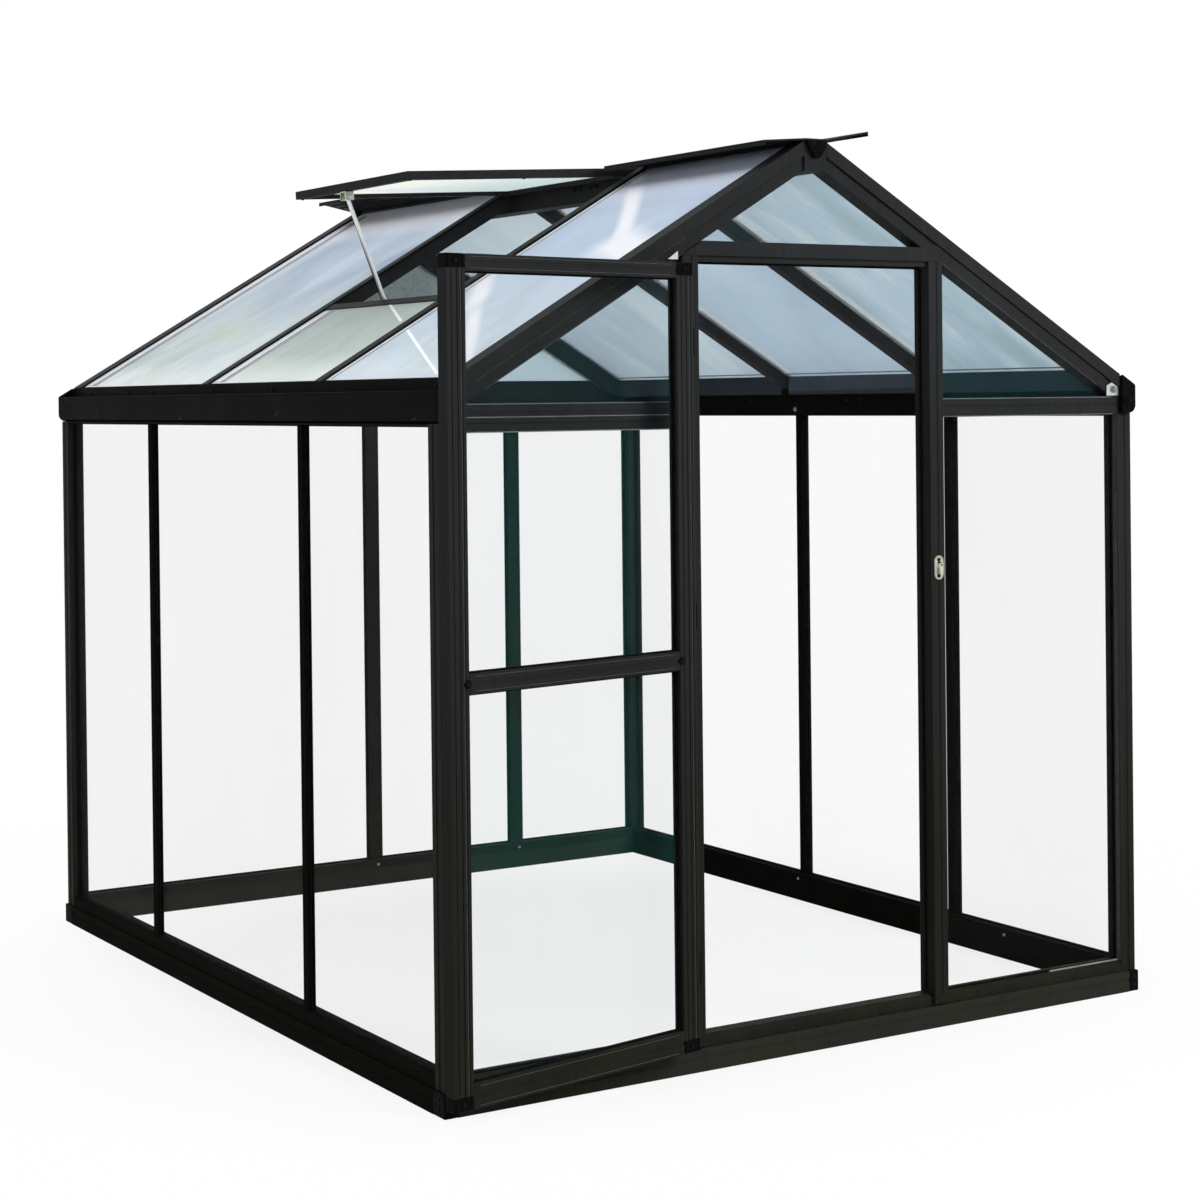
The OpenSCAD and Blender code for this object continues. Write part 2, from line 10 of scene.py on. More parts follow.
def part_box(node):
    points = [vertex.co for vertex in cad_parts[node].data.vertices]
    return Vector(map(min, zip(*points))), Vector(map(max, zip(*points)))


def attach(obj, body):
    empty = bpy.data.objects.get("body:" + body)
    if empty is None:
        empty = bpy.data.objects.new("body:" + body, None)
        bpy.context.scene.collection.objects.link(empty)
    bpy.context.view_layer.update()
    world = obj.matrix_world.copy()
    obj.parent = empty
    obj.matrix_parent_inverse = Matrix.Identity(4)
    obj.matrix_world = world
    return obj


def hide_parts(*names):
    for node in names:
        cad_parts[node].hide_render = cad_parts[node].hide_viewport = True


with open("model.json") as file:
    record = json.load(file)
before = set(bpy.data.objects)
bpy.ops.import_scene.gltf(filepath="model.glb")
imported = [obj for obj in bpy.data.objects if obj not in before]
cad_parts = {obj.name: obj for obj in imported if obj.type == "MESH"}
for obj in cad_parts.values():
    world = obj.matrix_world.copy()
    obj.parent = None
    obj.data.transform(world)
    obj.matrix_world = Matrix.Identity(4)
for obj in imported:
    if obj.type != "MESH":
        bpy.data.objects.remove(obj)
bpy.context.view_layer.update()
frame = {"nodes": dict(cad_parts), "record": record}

# ---------------------------------------------------------------- frames of the house, in millimetres

post_low, post_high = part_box("corner_posts")
middle_x = (post_low.x + post_high.x) / 2
front_y = post_low.y
MM = Matrix.Scale(0.001, 4)
SAME_PLACE = 1e-5
MIRROR = Matrix.Diagonal((-1, 1, 1, 1))
HOUSE = Matrix.Translation((middle_x, front_y, 0)) @ MM
hinge = frame["record"]["behaviour"]["joints"][0]
LEAF = (Matrix.Translation((hinge["pos_m"][0], hinge["pos_m"][1], 0))
        @ Matrix.Rotation(-math.radians(hinge["range_deg"][1]), 4, "Z") @ MM)


def corners(node):
    """The corners of a node's mesh, in the house's frame."""
    back = HOUSE.inverted()
    return [back @ v.co for v in frame["nodes"][node].data.vertices]


def solids(node, matrix=HOUSE):
    """The lowest and highest corner of each solid of a node, from left to right and front to back."""
    bm = bmesh.new()
    bm.from_mesh(frame["nodes"][node].data)
    bmesh.ops.remove_doubles(bm, verts=bm.verts, dist=SAME_PLACE)
    back = matrix.inverted()
    left, found = set(bm.verts), []
    while left:
        group, edge = set(), {left.pop()}
        while edge:
            group |= edge
            edge = {e.other_vert(v) for v in edge for e in v.link_edges} - group
        left -= group
        points = [back @ v.co for v in group]
        found.append([Vector([pick(p[i] for p in points) for i in range(3)]) for pick in (min, max)])
    bm.free()
    return sorted(found, key=lambda box: tuple(round(c) for c in box[0]))


# The roof's slopes, from the ends of its bars: X runs down the slope from the ridge, Z stands on it
bar_tops = corners("right_roof_bars")
beam_side = min(p.x for p in bar_tops)
eave_side = max(p.x for p in bar_tops)
beam_top = max(p.z for p in bar_tops)
eave_top = max(p.z for p in bar_tops if p.x > eave_side - 1)
fall = (beam_top - eave_top) / (eave_side - beam_side)
ridge_z = beam_top + fall * beam_side
pitch = math.atan(fall)
RIGHT_SLOPE = HOUSE @ Matrix.Translation((0, 0, ridge_z)) @ Matrix.Rotation(pitch, 4, "Y")
LEFT_SLOPE = HOUSE @ MIRROR @ Matrix.Translation((0, 0, ridge_z)) @ Matrix.Rotation(pitch, 4, "Y")

# The open vent leaf, from the lower corners of its sheet
pane = corners("vent_pane")
pane_mid = sum(p.x for p in pane) / len(pane)
near = min((p for p in pane if p.x > pane_mid), key=lambda p: p.z + p.y * 1e-4)
far = min((p for p in pane if p.x < pane_mid), key=lambda p: p.z + p.y * 1e-4)
droop = math.atan2(near.z - far.z, near.x - far.x)
VENT = HOUSE @ Matrix.Translation(near) @ MIRROR @ Matrix.Rotation(droop, 4, "Y")

# Where the front and the back roof bar of each slope stand, in metres
FRONT_BAR, BACK_BAR = (front_y + (low.y + high.y) / 2000 for low, high in solids("right_roof_bars"))


# ---------------------------------------------------------------- materials

def srgb(r, g, b):
    """A colour written in 0..255 screen values, as linear light."""
    out = []
    for c in (r, g, b):
        c /= 255
        out.append(c / 12.92 if c <= 0.04045 else ((c + 0.055) / 1.055) ** 2.4)
    return (*out, 1.0)


class Tree:
    """Short calls for the nodes of a material or of the world."""

    def __init__(self, tree):
        self.nodes = tree.nodes
        self.links = tree.links

    def put(self, value, socket):
        """Gives a socket a link or a value. A colour is given as three 0..255 screen values."""
        if isinstance(value, bpy.types.NodeSocket):
            self.links.new(value, socket)
        else:
            socket.default_value = srgb(*value) if socket.type == "RGBA" else value

    def node(self, kind, sockets, **props):
        """A new node with these properties, and these values or links on its sockets."""
        n = self.nodes.new(kind)
        for key, value in props.items():
            setattr(n, key, value)
        for key, value in sockets.items():
            self.put(value, n.inputs[key])
        return n

    def span(self, fac, start, end, low=0.0, high=1.0):
        """A value that goes from low to high as fac goes from start to end."""
        return self.node("ShaderNodeMapRange", {"Value": fac, "From Min": start, "From Max": end,
                                                "To Min": low, "To Max": high}).outputs[0]

    def math(self, operation, a, b=0.0):
        return self.node("ShaderNodeMath", {0: a, 1: b}, operation=operation).outputs[0]

    def times(self, value, *factors):
        for factor in factors:
            value = self.math("MULTIPLY", value, factor)
        return value

    def seen_directly(self):
        """1 for the camera's rays, reflections and glass, 0 for the light that falls on things."""
        path = self.nodes.new("ShaderNodeLightPath").outputs
        total = path["Is Camera Ray"]
        for name in ("Is Glossy Ray", "Is Transmission Ray"):
            total = self.math("MAXIMUM", total, path[name])
        return total


class Mat(Tree):
    """A material around one Principled shader, whose tint is laid on in layers."""

    def __init__(self, name, gloss=0.5):
        self.mat = bpy.data.materials.new(name)
        self.mat.use_nodes = True
        super().__init__(self.mat.node_tree)
        self.bsdf = self.nodes["Principled BSDF"]
        self.set(Specular_IOR_Level=gloss)
        self.coord = self.nodes.new("ShaderNodeTexCoord").outputs["Object"]
        self.tint = None

    def set(self, **values):
        for key, value in values.items():
            self.put(value, self.bsdf.inputs[key.replace("_", " ")])

    def stretched(self, scale, turn=(0, 0, 0)):
        sockets = {"Scale": scale, "Rotation": turn, "Vector": self.coord}
        return self.node("ShaderNodeMapping", sockets).outputs[0]

    def place(self, axis):
        return self.node("ShaderNodeSeparateXYZ", {0: self.coord}).outputs[axis]

    def noise(self, scale, detail=4.0, rough=0.55, vector=None, distortion=0.0):
        sockets = {"Scale": scale, "Detail": detail, "Roughness": rough, "Distortion": distortion,
                   "Vector": vector or self.coord}
        return self.node("ShaderNodeTexNoise", sockets).outputs["Fac"]

    def ramp(self, fac, stops):
        n = self.node("ShaderNodeValToRGB", {"Fac": fac})
        ramp = n.color_ramp
        while len(ramp.elements) < len(stops):
            ramp.elements.new(0.5)
        for element, (place, colour) in zip(ramp.elements, stops):
            element.position = place
            element.color = srgb(*colour)
        return n.outputs["Color"]

    def streak(self, start, end, width, bow):
        """1 on a soft band from start to end on the floor plan, 0 elsewhere; bow bends it sideways."""
        fade = 0.25     # the share of its length over which each end fades
        way = Vector(end) - Vector(start)
        n = self.node("ShaderNodeMapping", {"Location": (*start, 0), "Scale": (way.length, 1, 1),
                                            "Rotation": (0, 0, math.atan2(way.y, way.x)),
                                            "Vector": self.coord}, vector_type="TEXTURE")
        split = self.node("ShaderNodeSeparateXYZ", {0: n.outputs[0]})
        along, across = split.outputs[0], split.outputs[1]
        bend = self.times(along, self.math("SUBTRACT", 1.0, along), bow * 4)
        off = self.math("ABSOLUTE", self.math("SUBTRACT", across, bend))
        ends = self.times(self.span(along, 0, fade), self.span(along, 1, 1 - fade))
        return self.times(self.span(off, width * 0.75, width * 0.25), ends)

    def mix(self, fac, a, b):
        return self.node("ShaderNodeMix", {0: fac, 6: a, 7: b}, data_type="RGBA").outputs[2]

    def lay(self, fac, colour):
        """Lays a colour over the tint, as thickly as fac says."""
        self.tint = self.mix(fac, self.tint, colour)

    def bump(self, height, strength, distance):
        n = self.node("ShaderNodeBump", {"Height": height, "Strength": strength, "Distance": distance})
        self.set(Normal=n.outputs[0])

    def add_shader(self, share, kind, sockets):
        """Mixes a second shader into the surface."""
        added = self.node(kind, sockets).outputs[0]
        both = self.node("ShaderNodeMixShader", {0: share, 1: self.bsdf.outputs[0], 2: added})
        self.put(both.outputs[0], self.nodes["Material Output"].inputs["Surface"])


def powder_coat(name, low, high, moss, rough=0.45, light=(60, 62, 61), gloss=0.015):
    """Satin powder coat: cooler high up, mossy near the ground, with draw lines and fine specks."""
    m = Mat(name, gloss)
    height = m.place("Z")
    m.tint = m.mix(m.span(height, 0.2, 1.7), low, high)
    m.lay(m.span(m.noise(2.1, 3), 0.35, 0.7, 0.0, 0.3), (19, 20, 19))
    lines = m.noise(1, 3, 0.6, m.stretched((170, 170, 0.9)))
    m.lay(m.span(lines, 0.54, 0.72, 0.0, 0.24), (12, 13, 11))
    m.lay(m.span(lines, 0.44, 0.3, 0.0, 0.1), light)
    patches = m.span(m.noise(5.5, 5, 0.65), 0.48, 0.75, 0.0, 0.45)
    m.lay(m.times(m.span(height, 0.34, 0.02), patches), moss)
    m.lay(m.span(m.noise(420, 2, 0.5), 0.66, 0.72, 0.0, 0.35), light)
    m.set(Base_Color=m.tint, Roughness=m.span(m.noise(9, 4), 0.2, 0.8, rough - 0.06, rough + 0.1))
    m.bump(m.noise(1400, 2), 0.08, 0.0003)
    return m.mat


def moulded_plastic(name, tone, light):
    m = Mat(name, 0.02)
    m.set(Base_Color=m.ramp(m.noise(60, 5, 0.6), [(0.35, tone), (0.85, light)]),
          Roughness=m.span(m.noise(25, 3), 0, 1, 0.45, 0.65))
    m.bump(m.noise(700, 4, 0.7), 0.3, 0.0006)
    return m.mat


def bright_metal(name, tone, dull, rough, brush, shine, gloss=0.5):
    """Metal with fine scratches along its length and dull patches."""
    m = Mat(name, gloss)
    line = m.noise(1, 3, 0.6, m.stretched(brush))
    patch = m.span(m.noise(45, 4, 0.6), 0.45, 0.75)
    tone = m.mix(m.span(line, 0.35, 0.7, 0.0, 0.35), tone, dull)
    m.set(Base_Color=m.mix(m.times(patch, 0.5), tone, dull), Metallic=shine,
          Roughness=m.span(line, 0, 1, rough, rough + 0.2))
    m.bump(line, 0.08, 0.0003)
    return m.mat


def soft_strip(name, tone, dust):
    m = Mat(name, 0.03)
    m.set(Base_Color=m.mix(m.span(m.noise(30, 5, 0.65), 0.4, 0.8), tone, dust),
          Roughness=m.span(m.noise(80, 3), 0, 1, 0.5, 0.8))
    m.bump(m.noise(500, 3), 0.2, 0.0003)
    return m.mat


def clear_sheet(name, tone, film, alpha, right=None, marks=(2.5, 2.5, 0.7)):
    """Clear smooth sheet: a thin film of dust and wiping marks, which hides little."""
    m = Mat(name, 0.3)
    wipe = m.noise(1, 5, 0.6, m.stretched(marks, (0.3, 0.5, 0)), 0.6)
    m.tint = m.ramp(wipe, [(0.3, tone), (0.7, film)])
    if right:
        m.lay(m.span(m.place("X"), middle_x - 0.05, middle_x + 0.05), right)
    m.set(Base_Color=m.tint, Alpha=m.span(wipe, 0.3, 0.7, *alpha),
          Roughness=m.span(m.noise(40, 4), 0, 1, 0.06, 0.14))
    return m.mat


def hazy_base(name, tones, gloss=0.3):
    """A cloudy sheet with long soft streaks down the slope."""
    m = Mat(name, gloss)
    cloud = m.noise(1, 4, 0.5, m.stretched((1.5, 2.2, 2.2), (0.2, 0.6, 0.4)), 0.8)
    streak = m.noise(1, 5, 0.6, m.stretched((1.2, 7.0, 2.0), (0, 0.5, 0.35)), 0.3)
    m.tint = m.ramp(cloud, list(zip((0.34, 0.5, 0.64), tones)))
    m.lay(m.span(streak, 0.5, 0.72, 0.0, 0.75), tones[3])
    m.set(Roughness=m.span(m.noise(6, 3), 0, 1, 0.4, 0.55))
    return m


def hazy_sheet(name, tones, clear, marks, gloss=0.3):
    """Hazy sheet that lets light through, with marks of its own and faint ribs down the slope."""
    m = hazy_base(name, tones, gloss)
    marks(m)
    m.set(Base_Color=m.tint, Transmission_Weight=clear, IOR=1.2)
    wave = m.node("ShaderNodeTexWave", {"Scale": 14, "Vector": m.coord},
                  wave_type="BANDS", bands_direction="Y")
    m.bump(wave.outputs["Fac"], 0.04, 0.001)
    return m.mat


def glowing_sheet(name, tones):
    """Milky sheet that scatters the light falling on its back, greyer towards the ridge."""
    m = hazy_base(name, tones)
    m.lay(m.span(m.place("X"), middle_x - 0.5, middle_x - 0.15, 0.0, 0.6), (196, 212, 213))
    m.set(Base_Color=m.tint)
    m.add_shader(0.7, "ShaderNodeBsdfTranslucent", {"Color": m.tint})
    return m.mat


def on_left_slope(run, y):
    """The place, in floor plan, of a point this far down the left slope and this far back."""
    return middle_x - run * math.cos(pitch) / 1000, front_y + y / 1000


def left_weathering_and_painted_light(m):
    """The left slope turns paler and greener towards the gutter; painted highlights catch its front bay,
    and painted light lifts the shade near the ridge.
    """
    y, z = m.place("Y"), m.place("Z")
    low = m.span(z, 1.80, 1.52)
    patch = m.span(m.noise(3.4, 6, 0.66), 0.36, 0.6)
    m.lay(m.times(low, m.span(patch, 0, 1, 0.35, 1.0)), (234, 244, 238))
    moss = m.span(m.noise(4.5, 4, 0.55, m.stretched((1, 1.6, 1))), 0.53, 0.68, 0.0, 0.65)
    m.lay(m.times(low, moss), (196, 214, 180))
    middle_bay = m.times(m.span(y, FRONT_BAR + 0.01, FRONT_BAR + 0.03),
                         m.span(y, BACK_BAR + 0.01, BACK_BAR - 0.01))
    m.lay(m.times(middle_bay, 0.6), (176, 190, 180))
    spots = m.span(m.noise(3.4, 6, 0.7, m.stretched((1, 1.7, 1), (0, 0, 0.5)), 0.9), 0.52, 0.62)
    m.lay(m.times(low, spots, 0.55), (168, 186, 176))
    m.lay(m.span(z, 1.57, 1.50, 0.0, 0.7), (250, 254, 254))
    # Painted light: paler near the ridge, lifting the shade under the ridge cap
    m.lay(m.span(z, 1.90, 1.96, 0.0, 0.8), (250, 250, 255))
    m.lay(m.span(y, FRONT_BAR + 0.01, FRONT_BAR - 0.01, 0.0, 0.45), (196, 212, 234))
    # Painted highlights: soft pale streaks where light catches the front bay
    for start, end, width, bow in (((70, 640), (520, 130), 0.04, 0.012),
                                   ((420, 300), (560, -60), 0.10, 0.0),
                                   ((530, 690), (760, 400), 0.05, 0.01),
                                   ((700, 470), (1040, 0), 0.03, 0.006)):
        m.lay(m.streak(on_left_slope(*start), on_left_slope(*end), width, bow), (243, 245, 250))


def right_streaks_and_painted_highlights(m):
    """Streaks run down the right slope's outer bays, its top is paler, and painted highlights edge its
    bars.
    """
    y, z = m.place("Y"), m.place("Z")
    band = m.noise(1, 6, 0.66, m.stretched((1.4, 10, 1.4), (0, 0, 0.9)), 0.5)
    outer = m.math("MAXIMUM", m.span(y, BACK_BAR + 0.02, BACK_BAR + 0.19, 0.0, 0.6),
                   m.span(y, FRONT_BAR - 0.01, FRONT_BAR - 0.05, 0.0, 1.0))
    m.lay(m.times(m.span(band, 0.51, 0.6), outer), (222, 232, 232))
    m.lay(m.times(m.span(band, 0.49, 0.38), outer), (178, 198, 206))
    # Painted highlight: a faint pale band behind the back bar
    m.lay(m.span(y, BACK_BAR + 0.02, BACK_BAR + 0.09, 0.0, 0.25), (236, 248, 252))
    m.lay(m.times(m.span(y, FRONT_BAR + 0.15, FRONT_BAR + 0.45), m.span(z, 1.74, 1.86, 0.0, 0.55)),
          (236, 246, 252))
    m.lay(m.span(y, FRONT_BAR + 0.01, FRONT_BAR - 0.01, 0.0, 0.1), (214, 238, 246))
    # Painted highlights: pale bands on the sheet in front of each bar
    for bar in (FRONT_BAR, BACK_BAR):
        edge = m.times(m.span(y, bar - 0.069, bar - 0.029), m.span(y, bar - 0.007, bar - 0.013))
        m.lay(m.times(edge, 0.8), (244, 248, 250))


def stippled_gable(m):
    """The back gable is dark and stippled at its left and pale further right."""
    dark = m.ramp(m.noise(90, 5, 0.7), [(0.3, (100, 112, 112)), (0.7, (154, 164, 164))])
    m.lay(m.span(m.place("X"), middle_x + 0.42, middle_x + 0.2), dark)


GREEN = (40, 44, 30)
BRUSHED = (90, 90, 6)
GRAINED = (260, 260, 260)
FRAME = powder_coat("frame_coat", (31, 32, 27), (41, 42, 43), (42, 48, 24))
BASE = powder_coat("base_coat", (42, 43, 38), (40, 41, 39), (44, 48, 28), 0.5)
# Painted shade: darker copies of the powder coat for the parts on the sides (side rails, sills,
# mullions, gutters and side eave beams), whose faces lie in shade
SHADED_SIDE_COAT = powder_coat("shaded_side_coat", (15, 16, 13), (16, 17, 14), (22, 26, 10), 0.6, (20, 21, 19), 0.004)
SHADED_GUTTER_COAT = powder_coat("shaded_gutter_coat", (15, 17, 13), (15, 17, 14), GREEN, 0.5, (26, 28, 25), 0.008)
CLOSURE = powder_coat("eave_closure_coat", (84, 91, 98), (88, 95, 104), GREEN, 0.5)
GABLE_FOOT = powder_coat("gable_foot_coat", (34, 29, 30), (38, 32, 33), GREEN, 0.5)
PLASTIC = moulded_plastic("black_moulding", (7, 7, 7), (17, 17, 17))
METAL = bright_metal("bright_metal", (222, 226, 224), (170, 172, 168), 0.3, BRUSHED, 0.9)
CREAM = bright_metal("cream_metal", (222, 224, 206), (140, 144, 122), 0.3, (60, 60, 60), 0.85)
SCREW = bright_metal("screw_head", (150, 152, 152), (96, 98, 98), 0.35, GRAINED, 0.8)
DARK_SCREW = bright_metal("dark_screw", (26, 27, 28), (12, 12, 12), 0.45, GRAINED, 0.1, 0.05)
STAY = bright_metal("stay_metal", (242, 246, 244), (218, 222, 220), 0.3, BRUSHED, 0.4)
BEAD = soft_strip("pale_bead", (134, 138, 138), (96, 100, 98))
# Painted light for the sheets beside the left slope's bars: a grey band of painted shade, a pale painted
# reflection band, and the painted highlight used for lines and glints
SHADE_BAND = soft_strip("bar_shade_band", (160, 163, 168), (138, 142, 143))
REFLECTION_BAND = soft_strip("bar_reflection_band", (206, 210, 220), (186, 192, 202))
GLINT = soft_strip("pale_glint", (246, 248, 250), (226, 232, 236))
SEAL = soft_strip("black_seal", (10, 10, 10), (26, 26, 25))
DULL = soft_strip("dull_line", (70, 72, 70), (50, 52, 50))
WALL = clear_sheet("wall_sheet", (30, 34, 34), (54, 58, 58), (0.026, 0.036))
DOOR = clear_sheet("door_sheet", (30, 56, 66), (50, 76, 84), (0.016, 0.024))
FRONT_WALL = clear_sheet("front_wall_sheet", (0, 150, 134), (30, 166, 150), (0.024, 0.032), (36, 42, 44))
GABLE = clear_sheet("gable_sheet", (22, 92, 96), (48, 116, 118), (0.03, 0.042), marks=(2.2, 2.2, 4.0))
BACK_GABLE = hazy_sheet("back_gable_sheet", [(204, 222, 228), (214, 230, 236), (220, 234, 240),
                                             (228, 240, 244)], 0.6, stippled_gable)
LEFT_ROOF = hazy_sheet("roof_sheet_left", [(160, 176, 198), (184, 198, 214), (196, 210, 224),
                                           (218, 228, 238)], 0.3, left_weathering_and_painted_light, 0.6)
RIGHT_ROOF = hazy_sheet("roof_sheet_right", [(186, 204, 218), (193, 212, 225), (198, 216, 226),
                                             (204, 220, 230)], 0.8, right_streaks_and_painted_highlights)
VENT_SHEET = glowing_sheet("vent_sheet", [(224, 226, 226), (234, 235, 231), (238, 237, 230),
                                          (244, 242, 232)])

SLOT_OF = {s["node"]: s["material_slot"] for s in frame["record"]["subparts"]}
LOOK = {"dark_frame": FRAME, "base_frame": BASE, "black_plastic": PLASTIC, "bare_metal": METAL,
        "wall_sheet": WALL, "roof_sheet": RIGHT_ROOF}
SPECIAL = {"left_roof_panes": LEFT_ROOF, "right_roof_panes": RIGHT_ROOF, "vent_pane": VENT_SHEET,
           "front_gable_panes": GABLE, "back_gable_pane": BACK_GABLE,
           "front_wall_panes": FRONT_WALL, "door_panes": DOOR,
           "gutters": SHADED_GUTTER_COAT, "side_eave_beams": SHADED_GUTTER_COAT,
           "base_side_rails": SHADED_SIDE_COAT, "side_sills": SHADED_SIDE_COAT,
           "left_wall_mullions": SHADED_SIDE_COAT, "right_wall_mullions": SHADED_SIDE_COAT,
           "latch_keep": CREAM, "vent_stay": STAY, "vent_stay_bracket": CREAM}
BODY_OF = {n: body for body, names in frame["record"]["behaviour"]["bodies"].items() for n in names}


# ---------------------------------------------------------------- drawing pieces

def finish_piece(name, mesh, material, body, smooth=False):
    """A new object of this mesh, which rides on a body."""
    obj = bpy.data.objects.new(name, mesh)
    bpy.context.scene.collection.objects.link(obj)
    mesh.materials.append(material)
    for polygon in mesh.polygons:
        polygon.use_smooth = smooth
    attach(obj, body)
    return obj


def soften(obj, width, segments):
    """Rounds the sharp edges of an object."""
    bevel = obj.modifiers.new("edges", "BEVEL")
    bevel.width = width
    bevel.segments = segments
    bevel.limit_method = "ANGLE"
    bevel.angle_limit = math.radians(35)


def bevelled(node, width):
    """A copy of a CAD node's mesh with softened edges, which stands for the node."""
    bm = bmesh.new()
    bm.from_mesh(frame["nodes"][node].data)
    bmesh.ops.remove_doubles(bm, verts=bm.verts, dist=SAME_PLACE)
    bmesh.ops.dissolve_limit(bm, angle_limit=math.radians(1), verts=bm.verts, edges=bm.edges)
    mesh = bpy.data.meshes.new(node + "_soft")
    bm.to_mesh(mesh)
    bm.free()
    mesh.materials.clear()
    slot = SLOT_OF[node]
    obj = finish_piece(node + "_soft", mesh, SPECIAL.get(node) or LOOK[slot], BODY_OF[node])
    soften(obj, width, 2)
    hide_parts(node)


def at(point, normal):
    """A place whose Z axis points along this normal."""
    return Matrix.Translation(point) @ Vector(normal).to_track_quat("Z", "Y").to_matrix().to_4x4()


class Shape:
    """One mesh, drawn in a frame of its own from bars, prisms, turned solids and tubes."""

    def __init__(self, name, material, slot, matrix=HOUSE):
        self.bm = bmesh.new()
        self.name, self.material, self.slot, self.matrix = name, material, slot, matrix
        self.body = "door" if matrix is LEAF else "house"

    def skin(self, rings):
        """Faces between rings of as many corners each, with both ends closed."""
        rings = [[self.bm.verts.new(self.matrix @ Vector(p)) for p in ring] for ring in rings]
        count = len(rings[0])
        for a, b in zip(rings, rings[1:]):
            for i in range(count):
                self.bm.faces.new((a[i - 1], a[i], b[i], b[i - 1]))
        self.bm.faces.new(rings[0])
        self.bm.faces.new(rings[-1][::-1])

    def bar(self, low, high, cut=0.6):
        """A bar between two corners, with its long edges cut off."""
        low, high = Vector(map(min, low, high)), Vector(map(max, low, high))
        size = high - low
        along = max(range(3), key=lambda i: size[i])
        u, v = [i for i in range(3) if i != along]
        cut = min(cut, size[u] * 0.3, size[v] * 0.3)
        ring = []
        for su, sv in ((-1, -1), (1, -1), (1, 1), (-1, 1)):
            a, b = (low, high)[su > 0][u], (low, high)[sv > 0][v]
            pair = [(a, b - sv * cut), (a - su * cut, b)]
            ring += pair if su * sv > 0 else pair[::-1]
        rings = []
        for end in (low[along], high[along]):
            points = []
            for a, b in ring:
                point = [0, 0, 0]
                point[along], point[u], point[v] = end, a, b
                points.append(point)
            rings.append(points)
        self.skin(rings)

    def prism(self, outline, length, place):
        """An outline in X and Y, carried along Z."""
        self.skin([[place @ Vector((x, y, z)) for x, y in outline] for z in (0, length)])

    def turned(self, profile, point, normal, sides):
        """A profile of radius and height, turned about the normal at a point."""
        place = at(point, normal)
        turns = [2 * math.pi * i / sides for i in range(sides)]
        self.skin([[place @ Vector((r * math.cos(a), r * math.sin(a), h)) for a in turns]
                   for r, h in profile])

    def tube(self, points, radius, side, sides=8):
        """A tube along points of a plane whose normal is side."""
        points = [Vector(p) for p in points]
        rings = []
        for i, point in enumerate(points):
            way = (points[min(i + 1, len(points) - 1)] - points[max(i - 1, 0)]).normalized()
            cross = way.cross(side)
            angles = [2 * math.pi * j / sides for j in range(sides)]
            rings.append([point + radius * (math.cos(a) * cross + math.sin(a) * side) for a in angles])
        self.skin(rings)

    def screw(self, point, normal, r):
        """A pan head with a cross recess between four pads."""
        self.turned([(r, 0), (r, 0.3 * r), (0.8 * r, 0.48 * r)], point, normal, 14)
        for quarter in range(4):
            start = quarter * math.pi / 2
            turns = [start + math.pi * (0.06 + 0.38 * k / 3) for k in range(4)]
            pad = [(0.16 * r * math.sqrt(2) * math.cos(start + math.pi / 4),
                    0.16 * r * math.sqrt(2) * math.sin(start + math.pi / 4))]
            pad += [(0.72 * r * math.cos(a), 0.72 * r * math.sin(a)) for a in turns]
            self.prism(pad, 0.62 * r, at(point, normal))

    def bolt(self, point, normal, r):
        """A hexagon head on a washer."""
        for sides, profile in ((20, ((1.5, 0), (1.5, 0.2), (1.4, 0.28))),
                               (6, ((1, 0.2), (1, 0.8), (0.84, 0.95))),
                               (12, ((0.45, 0.9), (0.45, 1.15), (0.38, 1.22)))):
            self.turned([(a * r, b * r) for a, b in profile], point, normal, sides)

    def done(self, edges=0.0, smooth=False):
        """Turns the mesh into a piece, with its edges rounded by this much."""
        bmesh.ops.recalc_face_normals(self.bm, faces=self.bm.faces)
        mesh = bpy.data.meshes.new(self.name)
        self.bm.to_mesh(mesh)
        self.bm.free()
        obj = finish_piece(self.name, mesh, self.material, self.body, smooth)
        if smooth:
            mesh.set_sharp_from_angle(angle=math.radians(40))
        if edges:
            soften(obj, edges, 1)


# ---------------------------------------------------------------- CAD nodes

PLASTIC_EDGE = 0.0025
METAL_EDGE = 0.0012
for name, obj in frame["nodes"].items():
    slot = SLOT_OF[name]
    if slot in ("wall_sheet", "roof_sheet"):
        obj.data.materials.clear()
        obj.data.materials.append(SPECIAL.get(name) or LOOK[slot])
    else:
        bevelled(name, PLASTIC_EDGE if slot == "black_plastic" else METAL_EDGE)


# ---------------------------------------------------------------- seals round the clear sheets

SEAL_W = 3.5
SEAL_T = 3.0
SUNK = 0.2      # how far a piece of trim reaches into the face it lies on


def rim(shape, low, high):
    """A seal round a flat sheet, on both of its faces."""
    size = high - low
    thin = min(range(3), key=lambda i: size[i])
    u, v = [i for i in range(3) if i != thin]
    for span in ((low[thin] - SEAL_T, low[thin] + SUNK), (high[thin] - SUNK, high[thin] + SEAL_T)):
        for inner, outer, ends in ((u, v, 0.0), (v, u, SEAL_W)):
            for edge in (0, 1):
                a, b = Vector(low), Vector(high)
                a[thin], b[thin] = span
                a[outer] += ends
                b[outer] -= ends
                if edge:
                    a[inner] = b[inner] - SEAL_W
                else:
                    b[inner] = a[inner] + SEAL_W
                shape.bar(a, b)


seals = Shape("wall_seals", SEAL, "black_plastic")
for node in ("left_wall_panes", "right_wall_panes", "front_wall_panes", "back_wall_panes"):
    for low, high in solids(node):
        rim(seals, low, high)
seals.done()
seals = Shape("door_seals", SEAL, "black_plastic", LEAF)
for low, high in solids("door_panes", LEAF):
    rim(seals, low, high)
seals.done()


# ---------------------------------------------------------------- places that the trim is set out from

